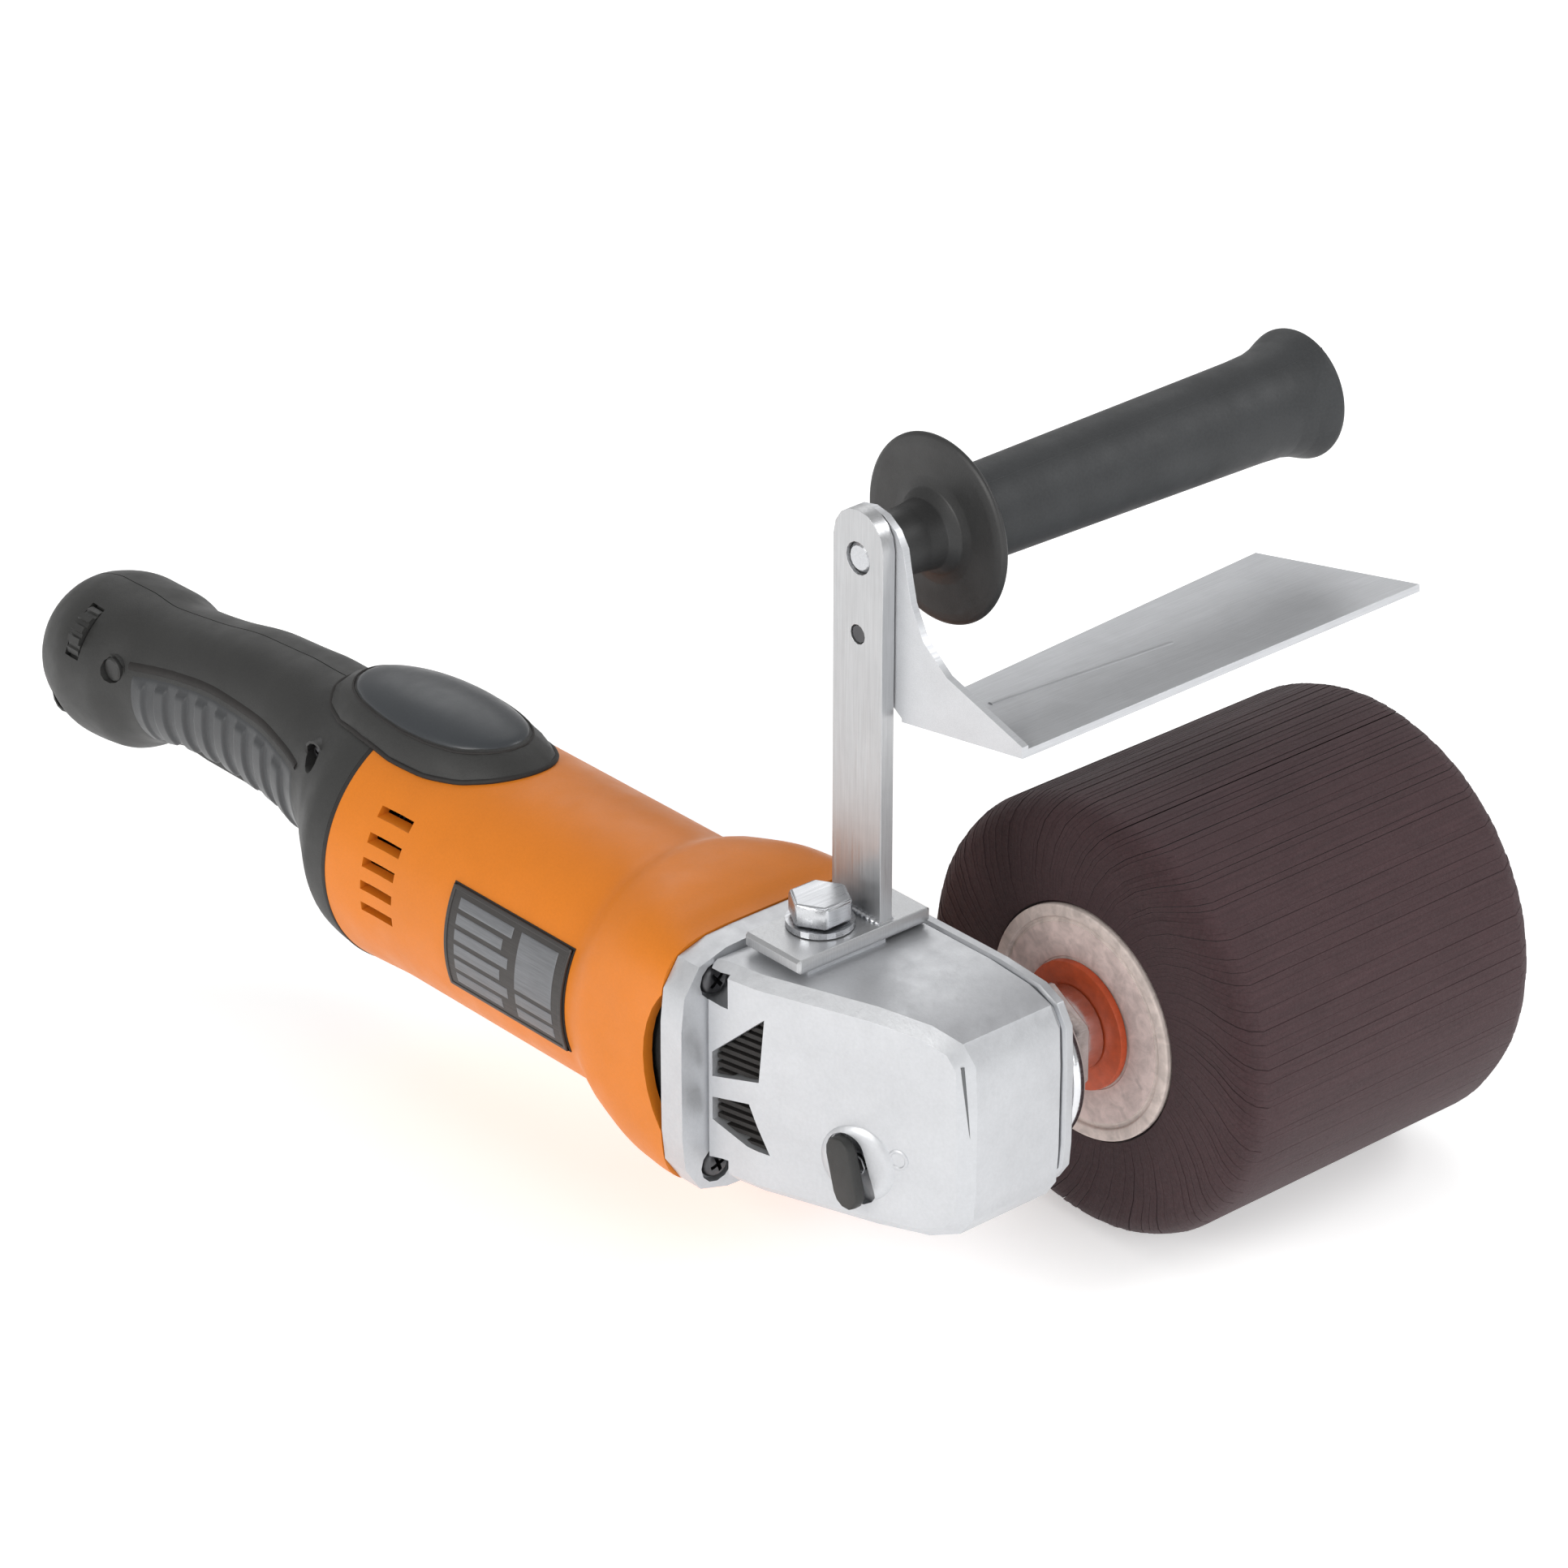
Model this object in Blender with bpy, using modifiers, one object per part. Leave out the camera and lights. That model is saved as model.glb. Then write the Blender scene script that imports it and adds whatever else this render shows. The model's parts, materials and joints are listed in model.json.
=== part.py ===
"""Angle grinder set up as a drum polisher, modelled piece by piece in metres, +Z up.

Layout of the tool: +X runs from the rear handle to the gear head's nose, +Y along the
spindle towards the abrasive drum, +Z towards the handle bracket. The motor axis and the
spindle axis cross at the tool centre. The world origin is under the middle of the
bounding box, on the plane that the drum touches.
"""
import math

import bmesh
import bpy
from mathutils import Matrix, Vector

MM = 0.001                       # every length below is in millimetres
GAP = 0.3                        # clearance kept between touching pieces

# ---- driving dimensions ----------------------------------------------------------
DRUM_RADIUS = 60.0
DRUM_START, DRUM_END = 60.0, 166.0
DRUM_EDGE = 8.0                  # rounding of the drum's rims
CORE_FLANGE_RADIUS = 32.0
SPINDLE_END = 176.0
SPINDLE_THREAD_RADIUS = 7.0      # M14

GEAR_MODULE = 1.44
PINION_TEETH, RING_TEETH = 10, 30
GEAR_FACE = 6.5
PRESSURE_ANGLE = math.radians(25)
TOOTH_BACKLASH = 0.12

FLANGE_BACK, FLANGE_FRONT = -50.0, -42.0
FLANGE_HALF_Y, FLANGE_HALF_Z = 38.0, 35.0
HEAD_SCREW = 26.5                # screw circle's square, half its side
HEAD_TOP, HEAD_BOTTOM = 33.5, -28.5
NOSE = 30.0
COVER_FACE = 26.6                # open side of the gear head, along Y
NECK_SLOPE, HEAD_SLOPE = 0.1875, 0.352
SLOPE_BREAK = (-26.0, -27.0)     # X, Y where the two slopes of the -Y face meet

HOUSING_REAR = -191.0
HOUSING_RADIUS = 36.0
WALL = 3.0
HANDLE_REAR = -352.0
REAR_END = -356.0                # end of the cord inlet
INLET_RADIUS = 6.8

BRACKET_X = -28.5                # middle of the upright bar
BAR_WIDTH, BAR_THICK, BAR_FACE = 18.0, 4.0, 8.0
BAR_TOP = 149.5
FOOT_UNDER, FOOT_THICK = 35.0, 4.0
BOLT_AT = (-29.5, -3.0)
STUD_Z = 136.5
GUARD_SCREW_Z = 116.0
GRIP_END = 160.5
GUARD_TILT = math.atan(0.15)

TRIGGER_PIVOT = (-297.0, -4.5)   # X, Z
DIAL_X = -325.0
DIAL_AT = (-13.0, 12.4)          # Y, Z of the dial's axle
LOCK_ON_AT = (-236.0, 13.0)      # X, Z
HANDLE_POSTS = ((-212.0, 22.0), (-212.0, -14.0), (-309.0, 11.0), (-338.0, -9.0))
SPINDLE_LOCK_AT = (0.0, -12.5)   # X, Z
BUTTON_TURN = math.radians(-16)
BUTTON_FLOOR, BUTTON_BACK, BUTTON_TOP = -14.6, -19.0, -22.2
LOCK_PIN_CIRCLE = 11.6
PIN_AT = (SPINDLE_LOCK_AT[0], -LOCK_PIN_CIRCLE)

# Air windows on the spindle-lock side of the head: corners in X, Z.
UPPER_WINDOW = ((-24, 22.5), (-25.5, 4.2), (-40, 1), (-40, 8))
LOWER_WINDOW = ((-40, -5), (-28.5, -3), (-22.5, -16), (-29, -15.5), (-40, -11.5))

# Outside of motor housing and rear handle: X, middle Z, half width, half height, and
# the squareness of the section (2 is an ellipse).
BODY_SECTIONS = (
    (-352.0, 1.5, 10.0, 10.0, 2.0),
    (-348.5, 1.5, 16.3, 16.3, 2.0),
    (-341.5, 1.5, 21.4, 21.4, 2.0),
    (-329.0, 1.5, 24.5, 24.5, 2.0),
    (-317.0, 2.2, 24.1, 24.1, 2.0),
    (-304.0, 5.0, 20.0, 20.6, 2.0),
    (-285.0, 8.5, 18.0, 19.6, 2.1),
    (-262.0, 11.0, 18.5, 21.0, 2.2),
    (-244.0, 11.0, 19.5, 22.2, 2.2),
    (-230.0, 9.2, 21.6, 24.0, 2.1),
    (-218.0, 7.0, 25.4, 26.8, 2.0),
    (-208.0, 3.0, 31.5, 32.5, 2.0),
    (-199.0, 0.4, 36.2, 36.4, 2.0),
    (-191.0, 0.0, 37.0, 37.0, 2.0),
    (-182.0, 0.0, 36.6, 36.6, 2.0),
    (-168.0, 0.0, HOUSING_RADIUS, HOUSING_RADIUS, 2.0),
    (-90.5, 0.0, HOUSING_RADIUS, HOUSING_RADIUS, 2.0),
    (-82.0, 0.0, 37.6, 38.4, 2.4),
    (-71.0, 0.0, 37.9, 39.0, 3.2),
    (-59.0, 0.0, 38.0, 37.4, 4.3),
    (-50.0, 0.0, 38.0, 35.4, 5.5),
)

# ---- finishes: colour, roughness, metallic ---------------------------------------
ORANGE = ((0.75, 0.22, 0.03), 0.42, 0.0)
BLACK = ((0.045, 0.045, 0.043), 0.55, 0.0)
RUBBER = ((0.05, 0.053, 0.056), 0.7, 0.0)
CAST = ((0.70, 0.71, 0.72), 0.45, 0.9)
STEEL = ((0.56, 0.57, 0.58), 0.32, 1.0)
DARK_STEEL = ((0.20, 0.20, 0.21), 0.4, 1.0)
LAMINATION = ((0.30, 0.31, 0.33), 0.5, 0.9)
COPPER = ((0.72, 0.30, 0.14), 0.35, 1.0)
BRASS = ((0.75, 0.56, 0.25), 0.35, 1.0)
CARBON = ((0.03, 0.03, 0.03), 0.6, 0.2)
FLAPS = ((0.075, 0.036, 0.042), 0.9, 0.0)
CORE = ((0.55, 0.48, 0.42), 0.7, 0.0)
RED_WASHER = ((0.60, 0.09, 0.03), 0.5, 0.0)
PLATE_GREY = ((0.25, 0.26, 0.27), 0.45, 0.6)

# Turning that carries a local +Z onto the named axis; X and Y outlines keep +Z up.
REVOLVED = {"X": (0, math.pi / 2, 0), "Y": (-math.pi / 2, 0, 0), "Z": (0, 0, 0)}
OUTLINED = {"X": (math.pi / 2, 0, math.pi / 2), "Y": (math.pi / 2, 0, 0), "Z": (0, 0, 0)}

for old in list(bpy.data.objects):
    bpy.data.objects.remove(old)

parts = bpy.data.collections.new("angle_grinder")
cutters = bpy.data.collections.new("cutters")
bpy.context.scene.collection.children.link(parts)
bpy.context.scene.collection.children.link(cutters)


# ---- frame: one empty per moving body, on its joint's axis -----------------------
def empty(name, parent, place):
    obj = bpy.data.objects.new(name, None)
    parts.objects.link(obj)
    obj.parent = parent
    obj.location = Vector(place) * MM
    return obj


CENTRE_X = (REAR_END + DRUM_RADIUS) / 2
CENTRE_Y = (SPINDLE_END - FLANGE_HALF_Y) / 2
tool = empty("tool_centre", None, (-CENTRE_X, -CENTRE_Y, DRUM_RADIUS))

BODY_ORIGINS = {
    "root": (0, 0, 0),
    "spindle_assembly": (0, 0, 0),
    "armature": (0, 0, 0),
    "trigger": (TRIGGER_PIVOT[0], 0, TRIGGER_PIVOT[1]),
    "lock_on": (LOCK_ON_AT[0], 20, LOCK_ON_AT[1]),
    "spindle_lock": (SPINDLE_LOCK_AT[0], -20, SPINDLE_LOCK_AT[1]),
    "dial": (DIAL_X, *DIAL_AT),
}
BODIES = {name: empty(name + "_axis", tool, at) for name, at in BODY_ORIGINS.items()}


# ---- modelling tools -------------------------------------------------------------
def settle(obj, body, collection):
    """Hang an object that is placed in tool coordinates on its body's empty."""
    collection.objects.link(obj)
    obj.parent = BODIES[body]
    obj.location = obj.location - Vector(BODY_ORIGINS[body]) * MM
    return obj


def piece(obj, finish, body="root"):
    """Give a shape its material and make it a named part of a body."""
    colour, roughness, metallic = finish
    material = bpy.data.materials.new(obj.name)
    material.use_nodes = True
    shader = material.node_tree.nodes["Principled BSDF"]
    shader.inputs["Base Color"].default_value = (*colour, 1.0)
    shader.inputs["Roughness"].default_value = roughness
    shader.inputs["Metallic"].default_value = metallic
    obj.data.materials.clear()
    obj.data.materials.append(material)
    return settle(obj, body, parts)


def from_bmesh(name, shape, location=(0, 0, 0), rotation=(0, 0, 0)):
    mesh = bpy.data.meshes.new(name)
    shape.to_mesh(mesh)
    shape.free()
    mesh.shade_smooth()
    mesh.set_sharp_from_angle(angle=math.radians(32))
    obj = bpy.data.objects.new(name, mesh)
    obj.location = Vector(location) * MM
    obj.rotation_euler = rotation
    return obj


def box(name, low, high):
    shape = bmesh.new()
    bmesh.ops.create_cube(shape, size=1.0)
    size = [(b - a) * MM for a, b in zip(low, high)]
    bmesh.ops.scale(shape, vec=size, verts=shape.verts)
    return from_bmesh(name, shape, [(a + b) / 2 for a, b in zip(low, high)])


def along(axis, start, end, across):
    """Middle point of a stretch along an axis; across gives the other two coordinates."""
    middle = (start + end) / 2
    if axis == "X":
        return (middle, across[0], across[1])
    if axis == "Y":
        return (across[0], middle, across[1])
    return (across[0], across[1], middle)


def cylinder(name, axis, start, end, radius, across=(0, 0), segments=24, end_radius=None):
    shape = bmesh.new()
    top = radius if end_radius is None else end_radius
    bmesh.ops.create_cone(shape, cap_ends=True, segments=segments, radius1=radius * MM,
                          radius2=top * MM, depth=abs(end - start) * MM)
    return from_bmesh(name, shape, along(axis, start, end, across), REVOLVED[axis])


def turned(name, axis, profile, across=(0, 0), segments=32):
    """Solid of revolution from (radius, place along the axis) points of its section."""
    loop = list(profile)
    turn = sum(r0 * z1 - r1 * z0 for (r0, z0), (r1, z1) in zip(loop, loop[1:] + loop[:1]))
    if turn > 0:                 # the outer side has to run down, from top to bottom
        loop.reverse()
    mesh = bpy.data.meshes.new(name)
    edges = [(i, i + 1) for i in range(len(loop) - 1)]
    if min(r for r, _ in loop) > 0:
        edges.append((len(loop) - 1, 0))
    mesh.from_pydata([(r * MM, 0, z * MM) for r, z in loop], edges, [])
    obj = bpy.data.objects.new(name, mesh)
    obj.location = Vector(along(axis, 0, 0, across)) * MM
    obj.rotation_euler = REVOLVED[axis]
    screw = obj.modifiers.new("Turn", "SCREW")
    screw.steps = screw.render_steps = segments
    screw.use_merge_vertices = True
    screw.merge_threshold = 0.00001
    return obj


def ring(name, axis, start, end, bore, radius, across=(0, 0), segments=32, edge=0.0):
    """Turned ring with both outer edges broken by a chamfer."""
    outer = [(radius, start), (radius, end)]
    if edge:
        outer = [(radius - edge, start), (radius, start + edge),
                 (radius, end - edge), (radius - edge, end)]
    return turned(name, axis, [(bore, start), *outer, (bore, end)], across, segments)


def arc(centre, radius, first, last, steps):
    """Points on an arc, from the first to the last angle in degrees."""
    angles = [math.radians(first + (last - first) * i / steps) for i in range(steps + 1)]
    return [(centre[0] + radius * math.cos(a), centre[1] + radius * math.sin(a)) for a in angles]


def polygon(radius, corners, turn=0.0, centre=(0, 0)):
    return arc(centre, radius, turn, turn + 360 * (corners - 1) / corners, corners - 1)


def realised(curve):
    """The curve's solid as a mesh object, with its caps welded on."""
    bpy.context.scene.collection.objects.link(curve)
    bpy.context.view_layer.update()
    graph = bpy.context.evaluated_depsgraph_get()
    mesh = bpy.data.meshes.new_from_object(curve.evaluated_get(graph))
    shape = bmesh.new()
    shape.from_mesh(mesh)
    bmesh.ops.remove_doubles(shape, verts=shape.verts, dist=0.00001)
    bmesh.ops.recalc_face_normals(shape, faces=shape.faces)
    name, place = curve.name, curve.matrix_world.copy()
    bpy.data.objects.remove(curve)
    obj = from_bmesh(name, shape)
    obj.matrix_world = place
    return obj


def slab(name, axis, start, end, outline, across=(0, 0), turn=0.0):
    """Flat outline, extruded from start to end along its axis."""
    data = bpy.data.curves.new(name, "CURVE")
    data.dimensions = "2D"
    data.fill_mode = "BOTH"
    data.extrude = abs(end - start) / 2 * MM
    spline = data.splines.new("POLY")
    spline.points.add(len(outline) - 1)
    for point, (x, y) in zip(spline.points, outline):
        point.co = (x * MM, y * MM, 0, 1)
    spline.use_cyclic_u = True
    curve = bpy.data.objects.new(name, data)
    curve.location = Vector(along(axis, start, end, across)) * MM
    rotation = OUTLINED[axis]
    curve.rotation_euler = (rotation[0], rotation[1] + turn, rotation[2])
    return realised(curve)


def loft(name, rings):
    """Closed skin through rings of equally many points, given in tool coordinates."""
    shape = bmesh.new()
    loops = [[shape.verts.new(Vector(p) * MM) for p in points] for points in rings]
    count = len(loops[0])
    for near, far in zip(loops, loops[1:]):
        for i in range(count):
            j = (i + 1) % count
            shape.faces.new((near[i], near[j], far[j], far[i]))
    shape.faces.new(loops[0])
    shape.faces.new(loops[-1])
    bmesh.ops.recalc_face_normals(shape, faces=shape.faces)
    return from_bmesh(name, shape)


def tube(name, rings):
    """Closed skin through a loop of rings: the last one joins the first."""
    shape = bmesh.new()
    loops = [[shape.verts.new(Vector(p) * MM) for p in points] for points in rings]
    count = len(loops[0])
    for near, far in zip(loops, loops[1:] + loops[:1]):
        for i in range(count):
            j = (i + 1) % count
            shape.faces.new((near[i], near[j], far[j], far[i]))
    bmesh.ops.recalc_face_normals(shape, faces=shape.faces)
    return from_bmesh(name, shape)


def bevel(obj, width, segments=2, angle=35):
    modifier = obj.modifiers.new("Bevel", "BEVEL")
    modifier.width = width * MM
    modifier.segments = segments
    modifier.limit_method = "ANGLE"
    modifier.angle_limit = math.radians(angle)
    return obj


def combine(obj, other, operation, body="root"):
    other.hide_render = True
    other.display_type = "WIRE"
    settle(other, body, cutters)
    modifier = obj.modifiers.new(other.name, "BOOLEAN")
    modifier.operation = operation
    modifier.solver = "EXACT"
    modifier.object = other
    return obj


def cut(obj, *others, body="root"):
    for other in others:
        combine(obj, other, "DIFFERENCE", body)
    return obj


def join(obj, *others, body="root"):
    for other in others:
        combine(obj, other, "UNION", body)
    return obj


def bars(name, axis, start, end, radius, width, height, count, turn=0.0):
    """Bars along an axis, evenly spread on a circle: a cutter or a part of a winding."""
    shape = bmesh.new()
    for i in range(count):
        made = bmesh.ops.create_cube(shape, size=1.0)["verts"]
        bmesh.ops.scale(shape, vec=(height * MM, width * MM, abs(end - start) * MM), verts=made)
        bmesh.ops.translate(shape, vec=(radius * MM, 0, 0), verts=made)
        turning = Matrix.Rotation(math.radians(turn) + 2 * math.pi * i / count, 3, "Z")
        bmesh.ops.rotate(shape, matrix=turning, verts=made)
    return from_bmesh(name, shape, along(axis, start, end, (0, 0)), REVOLVED[axis])


def spring(name, axis, start, end, radius, wire, turns, across):
    """Open coil spring with its wire along a helix."""
    steps = 8 * turns
    data = bpy.data.curves.new(name, "CURVE")
    data.dimensions = "3D"
    data.bevel_depth = wire * MM
    data.bevel_resolution = 2
    data.use_fill_caps = True
    spline = data.splines.new("POLY")
    spline.points.add(steps)
    for i, point in enumerate(spline.points):
        angle = 2 * math.pi * i / 8
        rise = (i / steps - 0.5) * (end - start - 2 * wire)
        point.co = (radius * math.cos(angle) * MM, radius * math.sin(angle) * MM, rise * MM, 1)
    curve = bpy.data.objects.new(name, data)
    curve.location = Vector(along(axis, start, end, across)) * MM
    curve.rotation_euler = REVOLVED[axis]
    return realised(curve)


# ---- outer body: sections shared by the motor housing and the rear handle --------
def rounded(angle, half_y, half_z, squareness):
    """Point of a superellipse at an angle measured from +Y towards +Z."""
    c, s = math.cos(angle), math.sin(angle)
    reach = (abs(c / half_y) ** squareness + abs(s / half_z) ** squareness) ** (-1 / squareness)
    return reach * c, reach * s


def full_ring(section, offset, count=32):
    x, middle, half_y, half_z, squareness = section
    points = [rounded(2 * math.pi * i / count, half_y + offset, half_z + offset, squareness)
              for i in range(count)]
    return [(x, y, z + middle) for y, z in points]


def section_at(x):
    """Section of the outer body at any X, between the listed ones."""
    for low, high in zip(BODY_SECTIONS, BODY_SECTIONS[1:]):
        if low[0] <= x <= high[0]:
            t = (x - low[0]) / (high[0] - low[0])
            return tuple(a + (b - a) * t for a, b in zip(low, high))
    raise ValueError("outside the body")


def body_stretch(first, last):
    inner = [s for s in BODY_SECTIONS if first < s[0] < last]
    return [section_at(first), *inner, section_at(last)]


# ---- gear head -------------------------------------------------------------------
def head_outline(inset=0.0):
    """Outline of the head in X, Z, from the flange over the nose and back."""
    top, bottom, nose = HEAD_TOP - inset, HEAD_BOTTOM + inset, NOSE - inset
    return [(4, top), (18, top - 1.2), (nose - 4, top - 4), (nose - 0.6, top - 9.5), (nose, 12),
            (nose, -11), (nose - 0.6, bottom + 9), (nose - 4, bottom + 4), (18, bottom + 1),
            (4, bottom)]


def head_body():
    """Head without flange: the outline along Y, trimmed by the two sloping planes."""
    neck = [(-38, HEAD_BOTTOM), (FLANGE_FRONT - 2, HEAD_BOTTOM - 1),
            (FLANGE_FRONT - 2, HEAD_TOP - 1), (-38, HEAD_TOP)]
    body = slab("head_body", "Y", -40, COVER_FACE, neck + head_outline())
    shape = bmesh.new()
    shape.from_mesh(body.data)
    shape.transform(body.matrix_world)
    for slope in (NECK_SLOPE, HEAD_SLOPE):
        corner = Vector((SLOPE_BREAK[0], SLOPE_BREAK[1], 0)) * MM
        cut_plane = bmesh.ops.bisect_plane(
            shape, geom=shape.verts[:] + shape.edges[:] + shape.faces[:], dist=1e-7,
            plane_co=corner, plane_no=(slope, -1, 0), clear_outer=True)
        rim = [e for e in cut_plane["geom_cut"] if isinstance(e, bmesh.types.BMEdge)]
        bmesh.ops.edgeloop_fill(shape, edges=rim)
    bmesh.ops.dissolve_limit(shape, angle_limit=math.radians(1), verts=shape.verts,
                             edges=shape.edges)
    bmesh.ops.recalc_face_normals(shape, faces=shape.faces)
    bpy.data.objects.remove(body)
    return bevel(from_bmesh("head_body", shape), 3.0, 1, 40)


def corner_screws():
    return [(y, z) for y in (-HEAD_SCREW, HEAD_SCREW) for z in (-HEAD_SCREW, HEAD_SCREW)]


def gear_housing():
    flange_section = (0, 0, FLANGE_HALF_Y, FLANGE_HALF_Z, 5.5)
    outline = [(y, z) for _, y, z in full_ring(flange_section, 0, 32)]
    housing = bevel(slab("gear_housing", "X", FLANGE_BACK, FLANGE_FRONT, outline), 1.4, 1, 50)
    join(housing, head_body())
    foot_pad = [(BOLT_AT[0] + x, BOLT_AT[1] + y) for x, y in
                ((-10, -13), (10, -13), (10, 13), (-10, 13))]
    join(housing, slab("handle_pads", "Z", HEAD_BOTTOM - 2.5, FOOT_UNDER - GAP, foot_pad))
    cut(housing,
        cylinder("ring_gear_room", "Y", -2.6, COVER_FACE + 3, 24.2, segments=28),
        cylinder("bush_seat", "Y", -13.6, 0, 6.6, segments=16),
        cylinder("pinion_room", "X", -41, -7, 10.2, segments=20),
        cylinder("bearing_seat", "X", FLANGE_BACK - 2, -40.7, 13.4, segments=24))
    for y, z in corner_screws():
        cut(housing, cylinder("flange_hole", "X", FLANGE_BACK - 2, FLANGE_FRONT + 3, 2.6,
                              (y, z), 8),
            cylinder("head_recess", "X", FLANGE_FRONT - 3, FLANGE_FRONT + 7, 5.2, (y, z), 12))
    for name, window, low, high in (("upper_window", UPPER_WINDOW, 3.5, 13.5),
                                    ("lower_window", LOWER_WINDOW, -13.5, -5)):
        cut(housing, slab(name, "Y", -45, -17.5, window),
            box(name + "_duct", (FLANGE_BACK - 2, -25.5, low), (-32, -17.6, high)))
    for side in (1, -1):
        cut(housing, cylinder("handle_hole", "Z", side * 19, side * 40, 5.0, BOLT_AT, 16))
    cut(housing, slab("button_pocket", "Y", -30, BUTTON_FLOOR, button_outline(GAP),
                      SPINDLE_LOCK_AT, BUTTON_TURN),
        cylinder("pin_hole", "Y", -30, 0, 2.3, PIN_AT, 12))
    for x, z in cover_screws():
        cut(housing, cylinder("cover_hole", "Y", 14, COVER_FACE + 3, 1.9, (x, z), 8))
    return piece(housing, CAST)


def button_outline(offset):
    radius, half = 4.5 + offset, 5.2
    return arc((0, half), radius, 0, 180, 6) + arc((0, -half), radius, 180, 360, 6)


def cover_screws():
    """Screws that hold the spindle cover on the head: X, Z."""
    return [(x, side * z) for x, z in ((-21.5, 21.5), (19.5, 20.5)) for side in (-1, 1)]


def spindle_cover():
    """Bearing cover on the open side of the head, with a spigot that carries the bearing."""
    start = COVER_FACE + GAP
    outline = [(-30, HEAD_BOTTOM + 1.8), (-30, HEAD_TOP - 1.8), *head_outline(1.8)]
    cover = bevel(slab("spindle_cover", "Y", start, start + 3.6, outline), 1.0, 1)
    join(cover, cylinder("spigot", "Y", 13.8, start + 1, 23.8, segments=28),
         cylinder("nose_boss", "Y", start + 1, 33.2, 21, segments=24, end_radius=19.5))
    cut(cover, cylinder("bearing_pocket", "Y", 12, 25.6, 16.4, segments=24),
        cylinder("shaft_way", "Y", 20, 40, 11, segments=20))
    for x, z in cover_screws():
        cut(cover, cylinder("screw_way", "Y", 14, 40, 2.3, (x, z), 8))
    return piece(cover, CAST)


def screws(name, axis, head, tip, places, radius, head_radius, head_height, finish):
    """Pan-head screws: head underside at head, shank running to tip."""
    step = math.copysign(head_height, head - tip)
    profile = [(0, tip), (radius, tip), (radius, head), (head_radius, head),
               (head_radius, head + 0.6 * step), (0.7 * head_radius, head + step),
               (0.4 * head_radius, head + step), (0, head + 0.4 * step)]
    for number, place in enumerate(places, 1):
        label = f"{name}_{number}" if len(places) > 1 else name
        piece(turned(label, axis, profile, place, 10), finish)


def spindle_lock():
    """Sprung button whose pin drops into one of the ring gear's four holes."""
    button = bevel(slab("spindle_lock_button", "Y", BUTTON_TOP, BUTTON_BACK, button_outline(0),
                        SPINDLE_LOCK_AT, BUTTON_TURN), 0.9, 2)
    join(button, cylinder("lock_pin", "Y", BUTTON_BACK - 1, 5.2, 1.95, PIN_AT, 12),
         body="spindle_lock")
    piece(button, BLACK, "spindle_lock")
    coil = spring("spindle_lock_spring", "Y", BUTTON_BACK + GAP, BUTTON_FLOOR - GAP, 2.8, 0.3,
                  2, PIN_AT)
    return piece(coil, STEEL)


# ---- bevel gears -----------------------------------------------------------------
def involute(angle):
    return math.tan(angle) - angle


def tooth_points(teeth, mate_teeth, above, below):
    """Flank points of one bevel tooth on its back cone: (radius, depth, half angle).

    The back cone is unrolled into a spur gear, whose involute gives the flank.
    Depth is measured along the gear's axis from the pitch circle, away from the apex.
    """
    cone = math.atan2(teeth, mate_teeth)
    pitch = GEAR_MODULE * teeth / 2
    virtual = pitch / math.cos(cone)
    base = virtual * math.cos(PRESSURE_ANGLE)
    half_tooth = (math.pi * GEAR_MODULE / 2 - TOOTH_BACKLASH) / 2 / virtual
    points = []
    for height in (-below, above):
        radius = max(virtual + height, base * 1.0001)
        half = half_tooth + involute(PRESSURE_ANGLE) - involute(math.acos(base / radius))
        points.append((pitch + height * math.cos(cone), height * math.sin(cone),
                       half / math.cos(cone)))
    return points


def bevel_gear(name, teeth, mate_teeth, above, below, back, first_angle):
    """Bevel gear with its apex at the local origin and its teeth facing the apex."""
    cone = math.atan2(teeth, mate_teeth)
    reach = GEAR_MODULE * teeth / 2 / math.tan(cone)
    length = GEAR_MODULE * teeth / 2 / math.sin(cone)
    flank = tooth_points(teeth, mate_teeth, above, below)
    circle = []
    for tooth in range(teeth):
        middle = first_angle + 2 * math.pi * tooth / teeth
        for radius, depth, half in flank:
            circle.append((radius, reach - depth, middle - half))
        for radius, depth, half in reversed(flank):
            circle.append((radius, reach - depth, middle + half))
    root = flank[0]
    shape = bmesh.new()

    def add(points):
        return [shape.verts.new(Vector((r * math.cos(a), r * math.sin(a), z)) * MM)
                for r, z, a in points]

    small = (length - GEAR_FACE) / length
    rings = [add([(root[0] - 0.2, back, a) for _, _, a in circle]), add(circle),
             add([(r * small, z * small, a) for r, z, a in circle]),
             add([((root[0] - 0.4) * small, (reach - root[1]) * small, a) for _, _, a in circle])]
    for near, far in zip(rings, rings[1:]):
        for i in range(len(near)):
            j = (i + 1) % len(near)
            shape.faces.new((near[i], near[j], far[j], far[i]))
    shape.faces.new(rings[0])
    shape.faces.new(rings[-1])
    bmesh.ops.recalc_face_normals(shape, faces=shape.faces)
    return from_bmesh(name, shape)


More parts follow.
